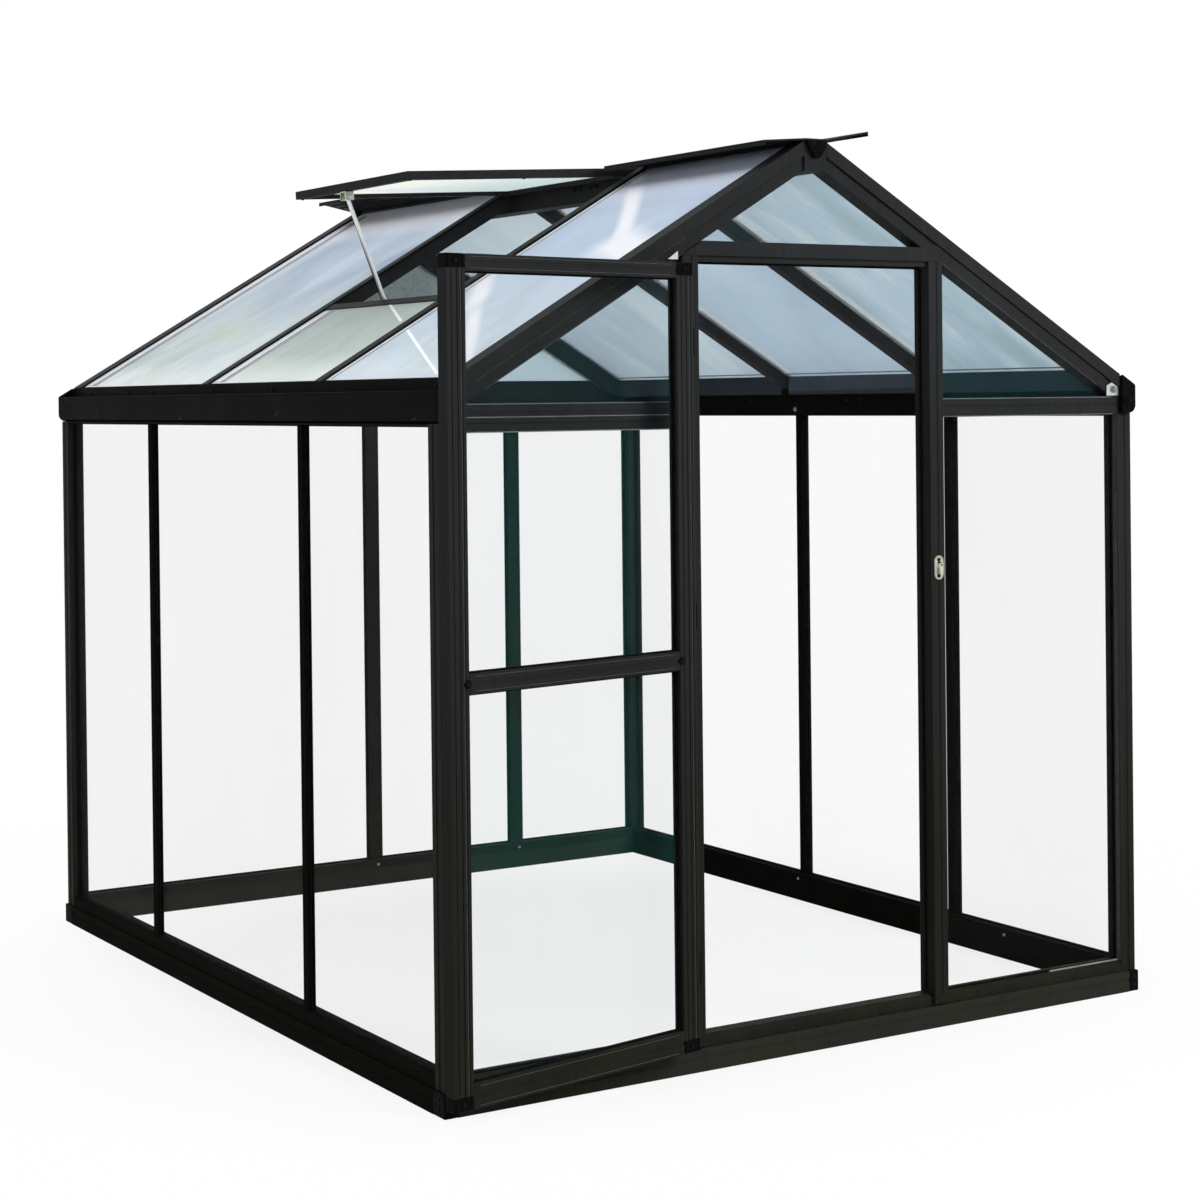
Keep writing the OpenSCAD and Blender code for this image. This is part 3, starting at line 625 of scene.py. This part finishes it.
post_w = 45
pane_top = -6   # the roof sheets' outer faces lie this far under the tops of the roof bars
jamb_low, jamb_high = solids("door_jamb_right")[0]
beam_low, beam_high = solids("front_eave_beams")[1]
sill_top = solids("end_sills")[0][1].z
half_w = -solids("corner_posts")[0][0].x
depth = solids("corner_posts")[-1][1].y
jamb_in, jamb_out = jamb_low.x, jamb_high.x
post_in = beam_high.x
gutter_low, gutter_high = solids("gutters")[1]
lip_x = gutter_low.x
inner_x = solids("side_eave_beams")[1][0].x
left_bars = solids("left_roof_bars", LEFT_SLOPE)
right_bars = solids("right_roof_bars", RIGHT_SLOPE)
bays = [(post_w, right_bars[0][0].y), (right_bars[0][1].y, right_bars[1][0].y),
        (right_bars[1][1].y, depth - post_w)]
gable_corners = [(end, out, side) for end, out in ((0, -1), (depth, 1)) for side in (-1, 1)]


def outer_face(low, high, axis=1):
    """The place of a solid's outer face along an axis, and the way that this face looks."""
    return (low[axis], -1) if low[axis] < (0, depth / 2)[axis] else (high[axis], 1)


def on_end(end):
    """The upright plane at this depth, in which an outline's X and Y are the house's X and Z."""
    return Matrix.Translation((0, end, 0)) @ Matrix.Rotation(math.pi / 2, 4, "X")


# ---------------------------------------------------------------- front: beads, corner plates, latch

# The left front beam has a second strip under it and a second bead across its face
strip_z = beam_low.z - 17
strip = Shape("front_beam_strip", FRAME, "dark_frame")
strip.bar((-post_in, 3, strip_z), (-jamb_out, 17, beam_low.z))
strip.done()
beads = Shape("front_beads", BEAD, "bare_metal")
for side, under in ((-1, strip_z), (1, beam_low.z)):
    beads.bar((side * (jamb_out + 3), 3, sill_top), (side * (jamb_out + 7.5), 8, under))
    beads.bar((side * jamb_out, 2, beam_high.z), (side * post_in, 6, beam_high.z + 1.6))
    beads.bar((side * (jamb_out + 8), 6, under - 3), (side * (post_in - 6), 12, under))
beads.bar((-post_in, -0.8, beam_low.z + 11), (-jamb_out, 1, beam_low.z + 12.6))
beads.bar((post_in - 220, 10, sill_top), (post_in, 15, sill_top + 3))
beads.done()
glazing = Shape("front_glazing_strips", DULL, "bare_metal")
for side in (-1, 1):
    glazing.bar((side * (post_in - 1.2), 2, sill_top), (side * (post_in + 0.2), 17, beam_low.z), 0.3)
glazing.done()

# Covers over the corners between posts and rafters
covers = Shape("corner_covers", PLASTIC, "black_plastic")
roof_at = beam_top - fall * (post_in + 8 - beam_side)
for end, out, side in gable_corners:
    a, b = side * (post_in + 6), side * (post_in + 15)
    outline = [(a, beam_high.z), (b, beam_high.z), (b, roof_at - 5), (a, roof_at)]
    covers.prism(outline, 8 * out, on_end(end + out * 1))
covers.done(0.001)

# The front rafters: a dull bead and a groove along the middle, and a dull line along the lower edge
rafter_d = 58
foot = (post_in - 2) / math.cos(pitch)
for side, slope in (("left", LEFT_SLOPE), ("right", RIGHT_SLOPE)):
    bead = Shape(side + "_rafter_bead", DULL, "bare_metal", slope)
    bead.bar((420, -0.8, -rafter_d / 2 - 3.4), (foot - 22, 1, -rafter_d / 2 - 1.6))
    bead.done()
    line = Shape(side + "_rafter_edge", DULL, "bare_metal", slope)
    line.bar((440, -1.0, -rafter_d - 0.8), (foot - 40, 2, -rafter_d + 1.4))
    line.done()
    groove = Shape(side + "_rafter_groove", SEAL, "black_plastic", slope)
    groove.bar((90, -1.8, -rafter_d / 2 - 1.6), (foot - 4, 0.4, -rafter_d / 2 + 0.2))
    groove.done()

# Plates that join post, beam and rafter. The left ones are mostly hidden by their rafters.
plate_z = beam_high.z + 4
plate_t = 2.4
plates = Shape("corner_plates", METAL, "bare_metal")
plate_bolts = Shape("corner_plate_bolts", SCREW, "bare_metal")
for end, out, side in gable_corners:
    reach, bolt_in = (33, 13) if side > 0 else (14, 3)
    a, b = side * (post_in - reach), side * (post_in + 5)
    outline = [(a, plate_z), (b, plate_z), (b, plate_z + 24), (b - side * 14, plate_z + 36),
               (a, plate_z + 24)]
    plates.prism(outline, plate_t * out, on_end(end + out * plate_t))
    place = (side * (post_in - bolt_in), end + out * plate_t, plate_z + 15)
    plate_bolts.bolt(place, (0, out, 0), 6)
plates.done(0.0004)
plate_bolts.done(smooth=True)

# The latch keep: a raised rim, a turn knob with its lever, two screws and a dark recess
keep_low, keep_high = (HOUSE.inverted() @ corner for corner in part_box("latch_keep"))
keep = (keep_low + keep_high) / 2
keep_w = keep_high.x - keep_low.x
keep_h = keep_high.z - keep_low.z
keep_face = keep_low.y
latch = Shape("latch_turn", CREAM, "bare_metal")
rim_r = keep_w / 2 - 2
ring = []
for middle, start in ((keep_h - keep_w, 0), (keep_w - keep_h, math.pi)):
    for i in range(9):
        a = start + math.pi * i / 8
        ring.append((keep.x + rim_r * math.cos(a), keep_face, keep.z + middle / 2 + rim_r * math.sin(a)))
latch.tube(ring + ring[:1], 1.6, Vector((0, 1, 0)))
latch.turned([(6.5, 0), (6.5, 4), (5.5, 5.5), (3, 6)],
             (keep.x + 1, keep_face, keep.z + 4), (0, -1, 0), 20)
latch.bar((keep.x - 3, keep_face - 8, keep.z - 16), (keep.x + 5, keep_face - 4, keep.z + 8), 1.5)
latch.done(0.0004, True)
latch_screws = Shape("latch_screws", DARK_SCREW, "bare_metal")
for z in (keep.z + 18, keep.z - 19):
    latch_screws.screw((keep.x - 1, keep_face, z), (0, -1, 0), 4.2)
latch_screws.turned([(2.6, 0), (2.6, 2)], (keep.x + 1, keep_face - 6, keep.z + 6), (0, -1, 0), 12)
latch_screws.done(smooth=True)
recess = Shape("latch_recess", SEAL, "bare_metal")
recess.bar((keep.x - 5, keep_face - 0.8, keep.z + 10), (keep.x + 6, keep_face + SUNK, keep.z + 13.5))
recess.bar((keep.x + 5.5, keep_face - 0.8, keep.z - 15), (keep.x + 8, keep_face + SUNK, keep.z + 5))
recess.done()

# A brush seal round the doorway, on the inner edges of the jambs and under the header's lip
header_z = solids("door_header")[0][0].z
brush = Shape("doorway_brush", SEAL, "black_plastic")
for side in (-1, 1):
    brush.bar((side * jamb_in, 20, sill_top + 6), (side * (jamb_in - 5), 26, header_z - 4))
brush.bar((-jamb_in + 6, 20, header_z - 5), (jamb_in - 6, 26, header_z))
brush.done()

# A small silver gusset where the left jamb meets its rafter
gusset = Shape("header_gusset", METAL, "bare_metal")
x, z = -jamb_out - 12, header_z + 24
gusset.prism([(x, z - 22), (x - 26, z - 22), (x, z - 4)], 1.6, on_end(-6.4))
gusset.done(0.0003)


# ---------------------------------------------------------------- gutters and eaves

apron_t = 1.5
screws = Shape("gutter_screws", DARK_SCREW, "dark_frame")
for side in (-1, 1):
    for y in (72, 890, 1250, 1650, 1830, depth - 130):
        screws.screw((side * (lip_x + apron_t + SUNK), y, gutter_high.z + 9), (side, 0, 0), 4.5)
screws.done(smooth=True)

# Plates between the gutters and the sheets, over the ends of the roof bars
aprons = Shape("eave_aprons", SHADED_GUTTER_COAT, "dark_frame")
apron_top = ridge_z - fall * lip_x - 1
for side in (-1, 1):
    aprons.bar((side * lip_x, 0, gutter_high.z - 1), (side * (lip_x + apron_t), depth, apron_top), 0.3)
aprons.done()

ribs = Shape("gutter_ribs", SHADED_GUTTER_COAT, "dark_frame")
for side in (-1, 1):
    face = side * gutter_high.x
    for drop, proud in ((3, 1.6), (20, 0.9), (27, 0.9)):
        z = gutter_high.z - drop
        ribs.bar((face - side, 2, z), (face + side * proud, depth - 2, z + 2.4))
ribs.done()

# Short raised arcs on the gutters' outer faces, where the brackets sit
arcs = Shape("gutter_bracket_marks", DULL, "dark_frame")
for side in (-1, 1):
    for y, drop, r, start in ((96, 44, 16, 200), (780, 36, 14, 190),
                              (1360, 48, 13, 200), (1960, 42, 13, 190)):
        turns = [math.radians(start + 95 * i / 12) for i in range(13)]
        x, z = side * (gutter_high.x + 0.3), gutter_high.z - drop
        arcs.tube([(x, y + r * math.cos(a), z + r * math.sin(a)) for a in turns],
                  0.8, Vector((side, 0, 0)), 6)
arcs.done(smooth=True)

caps = Shape("gutter_cap_bosses", PLASTIC, "black_plastic")
cap_screws = Shape("gutter_cap_screws", DARK_SCREW, "black_plastic")
for low, high in solids("gutter_end_caps"):
    face, out = outer_face(low, high)
    x, z = (low.x + high.x) / 2, low.z + 30
    caps.turned([(15, 0), (15, 1.0), (13, 1.4)], (x, face, z), (0, out, 0), 28)
    caps.turned([(8, 1.2), (8, 2.0), (6.5, 2.4)], (x, face, z), (0, out, 0), 20)
    cap_screws.screw((x, face + out * 2.2, z), (0, out, 0), 3.4)
caps.done(smooth=True)
cap_screws.done(smooth=True)

# Bolts on the inner faces of the eave beams and on the sides of the ridge beam
dark_bolts = Shape("frame_bolts", DARK_SCREW, "dark_frame")
eave_bolt_z, ridge_bolt_z = 1446, 1988
bolt_face = inner_x + 18
for side in (-1, 1):
    for y in (215, 400, 985, 1045, 1500, 1880, 2050):
        dark_bolts.bolt((side * bolt_face, y, eave_bolt_z), (-side, 0, 0), 5)
    for y in (120, 560, 870, 898, 948, 976, 1390, 1750, 2130):
        dark_bolts.bolt((side * beam_side, y, ridge_bolt_z), (side, 0, 0), 5)
dark_bolts.done(smooth=True)

# Strips that close the gaps between the eave beams and the roof sheets
closures = Shape("eave_closures", CLOSURE, "dark_frame")
closure_foot = 1460
closure_top = ridge_z - fall * inner_x - 12
for side in (-1, 1):
    for y0, y1 in bays:
        closures.bar((side * inner_x, y0, closure_foot), (side * (inner_x + 3), y1, closure_top), 0.3)
closures.done()

# A strip up to the same height along the foot of the back gable's sheet, on its inner face
gable_low, gable_high = solids("back_gable_pane")[0]
reach = gable_high.x * (gable_high.z - closure_top) / (gable_high.z - gable_low.z)
gable_foot = Shape("back_gable_foot", GABLE_FOOT, "dark_frame")
gable_foot.prism([(-gable_high.x, gable_low.z), (gable_high.x, gable_low.z), (reach, closure_top),
                  (-reach, closure_top)], 2, on_end(gable_low.y - 1))
gable_foot.done()

foot_screws = Shape("mullion_screws", SCREW, "bare_metal")
sill_in = half_w - post_w
foot_z, head_z = 62, 1424
for node, side in (("left_wall_mullions", -1), ("right_wall_mullions", 1)):
    for low, high in solids(node):
        y = (low.y + high.y) / 2
        foot_screws.screw((side * sill_in, y + 4, foot_z), (-side, 0, 0), 4)
        foot_screws.bolt((side * bolt_face, y - 24, head_z - 6), (-side, 0, 0), 4.5)
for low, high in solids("back_wall_mullions"):
    for z in (foot_z, head_z):
        foot_screws.screw(((low.x + high.x) / 2, depth - post_w, z), (0, -1, 0), 4)
for side in (-1, 1):
    for y in (425, 1820):
        foot_screws.screw((side * sill_in, y, foot_z), (-side, 0, 0), 4)
    for x in (jamb_out + 60, post_in - 60):
        foot_screws.screw((side * x, post_w, head_z), (0, 1, 0), 4)
foot_screws.done(smooth=True)

block_screws = Shape("base_block_screws", DARK_SCREW, "black_plastic")
block_ribs = Shape("base_block_ribs", PLASTIC, "black_plastic")
for low, high in solids("base_corner_blocks"):
    face_y, out_y = outer_face(low, high)
    face_x, out_x = outer_face(low, high, 0)
    x, y = (low.x + high.x) / 2, (low.y + high.y) / 2
    for z in (16, 36):
        block_screws.screw((x, face_y, z), (0, out_y, 0), 4)
        block_screws.screw((face_x, y, z), (out_x, 0, 0), 4)
    for z in (6, 26, 44):
        block_ribs.bar((low.x + 4, face_y - 1, z - 1), (high.x - 4, face_y + 1, z + 1))
        block_ribs.bar((face_x - 1, low.y + 4, z - 1), (face_x + 1, high.y - 4, z + 1))
block_screws.done(smooth=True)
block_ribs.done()


# ---------------------------------------------------------------- roof

slope_start = 45
slope_end = (lip_x - 16) / math.cos(pitch)

# Painted light on the left slope's sheets, beside its bars and its back rafter: a pale painted
# reflection band, a painted highlight line and a grey band of painted shade
shade_band = Shape("left_bar_shade_band", SHADE_BAND, "roof_sheet", LEFT_SLOPE)
film = Shape("left_bar_reflection_band", REFLECTION_BAND, "roof_sheet", LEFT_SLOPE)
shine = Shape("left_bar_highlight", GLINT, "roof_sheet", LEFT_SLOPE)
for y, start, width in ((left_bars[0][0].y, 60, 24), (left_bars[1][0].y, 690, 70),
                        (depth - post_w, 60, 78)):
    highlight_y, shade_y = y - width * 0.4, y - width * 0.52
    film.bar((start, y, pane_top), (slope_end, highlight_y, pane_top + 0.8), 0.2)
    shine.bar((start, highlight_y, pane_top), (slope_end, shade_y, pane_top + 0.7), 0.2)
    shade_band.bar((start, shade_y, pane_top), (slope_end, y - width, pane_top + 0.6), 0.2)
shade_band.done()
film.done()
shine.done()


def slope_seals(name, bars, slope):
    """Seals on the sheets of one slope, along its bars and its rafters."""
    seals = Shape(name, SEAL, "black_plastic", slope)
    for low, high in bars:
        seals.bar((slope_start, low.y, pane_top), (slope_end, low.y - 3, pane_top + 3))
        seals.bar((slope_start, high.y, pane_top), (slope_end, high.y + 3, pane_top + 3))
    for y in (post_w, depth - post_w - 3):
        seals.bar((slope_start, y, pane_top), (slope_end, y + 3, pane_top + 3))
    seals.done()


slope_seals("roof_seals_left", left_bars, LEFT_SLOPE)
slope_seals("roof_seals_right", right_bars, RIGHT_SLOPE)

# Pale beads under the right slope's sheets, along the bars and above the eave beam
beads = Shape("right_slope_beads", BEAD, "bare_metal", RIGHT_SLOPE)
under = pane_top - 4
for low, high in right_bars:
    beads.bar((60, low.y, under), (slope_end - 30, low.y - 3.5, under - 2.5))
    beads.bar((60, high.y, under), (slope_end - 30, high.y + 2.5, under - 2.0))
eave_line = (inner_x - 1) / math.cos(pitch)
for y0, y1 in bays:
    beads.bar((eave_line - 9, y0, under), (eave_line - 5.5, y1, under - 2.5))
beads.done()

# Ribs under the ridge cap's wings, which follow the slant of each wing
cap_low, cap_high = (HOUSE.inverted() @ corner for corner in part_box("ridge_cap"))
cap_points = corners("ridge_cap")
cap_root = min((p for p in cap_points if abs(abs(p.x) - beam_side) < 1), key=lambda p: p.z)
cap_ribs = Shape("ridge_cap_ribs", FRAME, "dark_frame")
bay_front, bay_back = ((low.y + high.y) / 2 for low, high in left_bars)
for side, y0, y1 in ((1, cap_low.y, cap_high.y), (-1, cap_low.y, bay_front),
                     (-1, bay_back, cap_high.y)):
    tip = min((p for p in cap_points if abs(p.x - side * cap_high.x) < 1 and y0 - 1 < p.y < y1 + 1),
              key=lambda p: p.z)
    grade = (tip.z - cap_root.z) / (abs(tip.x) - beam_side)
    for x in (52, 84, 112):
        z = cap_root.z + grade * (x - beam_side)
        cap_ribs.bar((side * x, y0 + 25, z - 2.5), (side * (x + 3), y1 - 25, z + 0.6))
cap_ribs.done()

end_bosses = Shape("ridge_end_bosses", PLASTIC, "black_plastic")
end_screws = Shape("ridge_end_screws", DARK_SCREW, "bare_metal")
for low, high in solids("ridge_end_caps"):
    face, out = outer_face(low, high)
    end_bosses.turned([(7, 0), (7, 1.5), (6, 2)], (0, face, high.z - 14), (0, out, 0), 6)
    end_screws.screw((-11, face, high.z - 8), (0, out, 0), 3.5)
end_bosses.done()
end_screws.done(smooth=True)


# ---------------------------------------------------------------- vent

frame_low, frame_high = solids("vent_frame", VENT)[0]
vent_screws = Shape("vent_screws", DARK_SCREW, "dark_frame", VENT)
for y in (frame_low.y + 13, frame_high.y - 13):
    for x in (frame_low.x + 60, (frame_low.x + frame_high.x) / 2, frame_high.x - 13):
        vent_screws.screw((x, y, frame_low.z + 0.2), (0, 0, -1), 4)
vent_screws.done(smooth=True)

clevis_low, clevis_high = solids("vent_stay_bracket", VENT)[0]
pins = Shape("clevis_pin", METAL, "bare_metal", VENT)
pin_x, pin_z = (clevis_low.x + clevis_high.x) / 2, clevis_low.z + 8
pins.turned([(3, 0), (3, clevis_high.y - clevis_low.y + 4)],
            (pin_x, clevis_low.y - 2, pin_z), (0, 1, 0), 14)
for y, out in ((clevis_low.y, -1), (clevis_high.y, 1)):
    pins.turned([(5.5, 0), (5.5, 1.5), (4, 3)], (pin_x, y, pin_z), (0, out, 0), 16)
pins.done(smooth=True)
clevis_slots = Shape("clevis_slots", SEAL, "bare_metal", VENT)
for x, face in ((clevis_low.x, -1), (clevis_high.x, 1)):
    for y in (clevis_low.y + 6, clevis_high.y - 6):
        clevis_slots.bar((x - face * 0.4, y - 1.6, clevis_low.z + 2),
                         (x + face * 0.6, y + 1.6, clevis_high.z - 2))
clevis_slots.done()

# Two dark lines down the stay: its back edge and a groove along its middle
stay = corners("vent_stay")
stay_back = max(p.y for p in stay)
stay_mid = (min(p.y for p in stay) + stay_back) / 2
stay_top = max(stay, key=lambda p: p.z) * Vector((1, 0, 1))
bend = sum(solids("vent_stay_rest")[0], Vector()) / 2 * Vector((1, 0, 1))
way = (bend - stay_top).normalized()
under_stay = Vector((-abs(way.z), 0, -abs(way.x))) * 2
ends = [stay_top + way * 14 + under_stay, bend - way * 6 + under_stay]
lines = Shape("stay_edge", SEAL, "bare_metal")
for y, r in ((stay_back - 0.6, 1.3), (stay_mid + 1, 0.5)):
    lines.tube([p + Vector((0, y, 0)) for p in ends], r, Vector((0, 1, 0)))
lines.done(smooth=True)

# A painted glint stands for the stay's foot seen through the sheets: a pale line on them, with a gap
# where a roof bar crosses it
half = 3.5
glint_start, glint_end = Vector((665, 970, pane_top)), Vector((1035, 116, pane_top))
run = glint_end - glint_start
turn = Matrix.Translation(glint_start) @ Matrix.Rotation(math.atan2(run.y, run.x), 4, "Z")
foot_glint = Shape("stay_foot_glint", GLINT, "roof_sheet", LEFT_SLOPE)
for a, b in ((0, 0.3 * run.length), (0.43 * run.length, run.length)):
    foot_glint.prism([(a, -half), (b, -half), (b, half), (a, half)], 0.6, turn)
foot_glint.done()


# ---------------------------------------------------------------- door

stiles = solids("door_stiles", LEAF)
face_in, face_out = stiles[0][0].y, stiles[0][1].y
leaf_faces = ((face_in, -1), (face_out, 1))
stile_ribs = Shape("stile_ribs", DULL, "dark_frame", LEAF)
stile_lines = Shape("stile_lines", SEAL, "dark_frame", LEAF)
for low, high in stiles:
    for face, out in leaf_faces:
        for share, shape, proud in ((0.18, stile_lines, 0.5), (0.27, stile_ribs, 0.8),
                                    (0.74, stile_lines, 0.5)):
            x = low.x + (high.x - low.x) * share
            shape.bar((x - 0.9, face - out * SUNK, low.z + 1),
                      (x + 0.9, face + out * proud, high.z - 1), 0.3)
stile_ribs.done()
stile_lines.done()

block_ribs = Shape("door_block_ribs", PLASTIC, "black_plastic", LEAF)
block_screws = Shape("door_block_screws", DARK_SCREW, "black_plastic", LEAF)
for low, high in solids("door_corner_blocks", LEAF):
    for face, out in leaf_faces:
        for i in range(4):
            x = low.x + 6 + (high.x - low.x - 12) * i / 3
            block_ribs.bar((x - 1.2, face - out * SUNK, low.z + 3),
                           (x + 1.2, face + out * 1.2, high.z - 3))
        block_screws.screw(((low.x + high.x) / 2, face, (low.z + high.z) / 2), (0, out, 0), 4.2)
block_ribs.done()
block_screws.done(smooth=True)

rails = sorted(solids("door_rails", LEAF), key=lambda box: box[0].z)
mid_low, mid_high = rails[1]
mid_z = (mid_low.z + mid_high.z) / 2
plugs = Shape("mid_rail_plugs", PLASTIC, "black_plastic", LEAF)
plug_screws = Shape("mid_rail_screws", DARK_SCREW, "bare_metal", LEAF)
for x in (mid_low.x - 5, mid_high.x + 5):
    for face, out in leaf_faces:
        plugs.turned([(9, 0), (9, 1.4), (7.5, 2)], (x, face, mid_z), (0, out, 0), 24)
        plug_screws.screw((x, face + out * 1.8, mid_z), (0, out, 0), 4.5)
plugs.done(smooth=True)
plug_screws.done(smooth=True)

rail_beads = Shape("door_rail_beads", DULL, "bare_metal", LEAF)
for low, high in rails:
    for face, out in leaf_faces:
        for z in (low.z + 5, high.z - 6.2):
            rail_beads.bar((low.x + 15, face - out * SUNK, z),
                           (high.x - 15, face + out * 0.7, z + 1.4), 0.3)
rail_beads.done()

hinge_screws = Shape("jamb_hinge_screws", DARK_SCREW, "black_plastic")
for low, high in solids("jamb_hinges"):
    for z in (low.z + 11, high.z - 11):
        hinge_screws.screw((high.x - 9, jamb_low.y - 3, z), (0, -1, 0), 3.6)
hinge_screws.done(smooth=True)
leaf_screws = Shape("door_hinge_screws", DARK_SCREW, "black_plastic", LEAF)
for low, high in solids("door_hinges", LEAF):
    for z in (low.z + 9, high.z - 9):
        leaf_screws.screw((high.x - 3, (face_in + face_out) / 2, z), (-1, 0, 0), 3.6)
leaf_screws.done(smooth=True)


# ---------------------------------------------------------------- camera, light and floor

scene = bpy.context.scene
scene.view_settings.view_transform = "Standard"

# The camera stands in front, to the left, and looks to the back right
EYE = (middle_x - 3.232, front_y - 4.307, 1.452)
LENS = 72.36
azimuth, tilt, roll = (math.radians(a) for a in (31.76, -0.49, -0.61))
forward = Vector((math.sin(azimuth) * math.cos(tilt), math.cos(azimuth) * math.cos(tilt),
                  math.sin(tilt)))
level = Vector((math.cos(azimuth), -math.sin(azimuth), 0))
upward = level.cross(forward)
right = level * math.cos(roll) + upward * math.sin(roll)
up = upward * math.cos(roll) - level * math.sin(roll)
camera_data = bpy.data.cameras.new("camera")
camera_data.lens = LENS
camera_data.sensor_width = 36
camera_data.shift_y = -0.15
camera = bpy.data.objects.new("camera", camera_data)
scene.collection.objects.link(camera)
turn = Matrix((right, up, -forward)).transposed().to_4x4()
camera.matrix_world = Matrix.Translation(EYE) @ turn
scene.camera = camera


def area_lamp(name, place, target, size, power):
    """A square lamp of this size and power, turned to its target."""
    data = bpy.data.lights.new(name, "AREA")
    data.size = size
    data.energy = power
    lamp = bpy.data.objects.new(name, data)
    scene.collection.objects.link(lamp)
    lamp.location = place
    lamp.rotation_euler = (Vector(target) - Vector(place)).to_track_quat("-Z", "Y").to_euler()
    lamp.visible_camera = False
    lamp.visible_glossy = False


area_lamp("overhead", (-1.0, -0.3, 6.5), (-0.3, 0, 0), 6, 300)
area_lamp("key", (3.5, -6.5, 4.2), (0, -0.4, 0.9), 3, 520)
area_lamp("side", (-7.5, -1.0, 2.8), (0, 0, 1.8), 3, 120)


# A white room, which lights the part much less than it shows behind it
ROOM_LIGHT = 0.16
world = bpy.data.worlds.new("studio")
scene.world = world
world.use_nodes = True
room = Tree(world.node_tree)
room.put((255, 255, 255), room.nodes["Background"].inputs["Color"])
room.put(room.span(room.seen_directly(), 0, 1, ROOM_LIGHT, 1),
         room.nodes["Background"].inputs["Strength"])

# The floor fades into the white room: it glows for the camera, more so further out
FLOOR_REACH = 60
floor_mesh = bpy.data.meshes.new("floor")
floor_mesh.from_pydata([(x * FLOOR_REACH, y * FLOOR_REACH, 0)
                        for x, y in ((-1, -1), (1, -1), (1, 1), (-1, 1))], [], [(0, 1, 2, 3)])
floor = bpy.data.objects.new("floor", floor_mesh)
scene.collection.objects.link(floor)
floor.location.z = -0.0005
ground = Mat("floor", 0.0)
ground.set(Base_Color=ground.span(ground.noise(0.8, 3), 0.3, 0.7, 0.74, 0.78), Roughness=0.9)
distance = ground.node("ShaderNodeVectorMath", {0: ground.coord}, operation="LENGTH").outputs["Value"]
glow = ground.math("ADD", ground.span(distance, 0.9, 1.7, 0.8, 0.975),
                   ground.span(distance, 1.7, 3.4, 0.0, 0.025))
ground.add_shader(ground.times(ground.seen_directly(), glow), "ShaderNodeEmission", {"Strength": 1.0})
floor_mesh.materials.append(ground.mat)
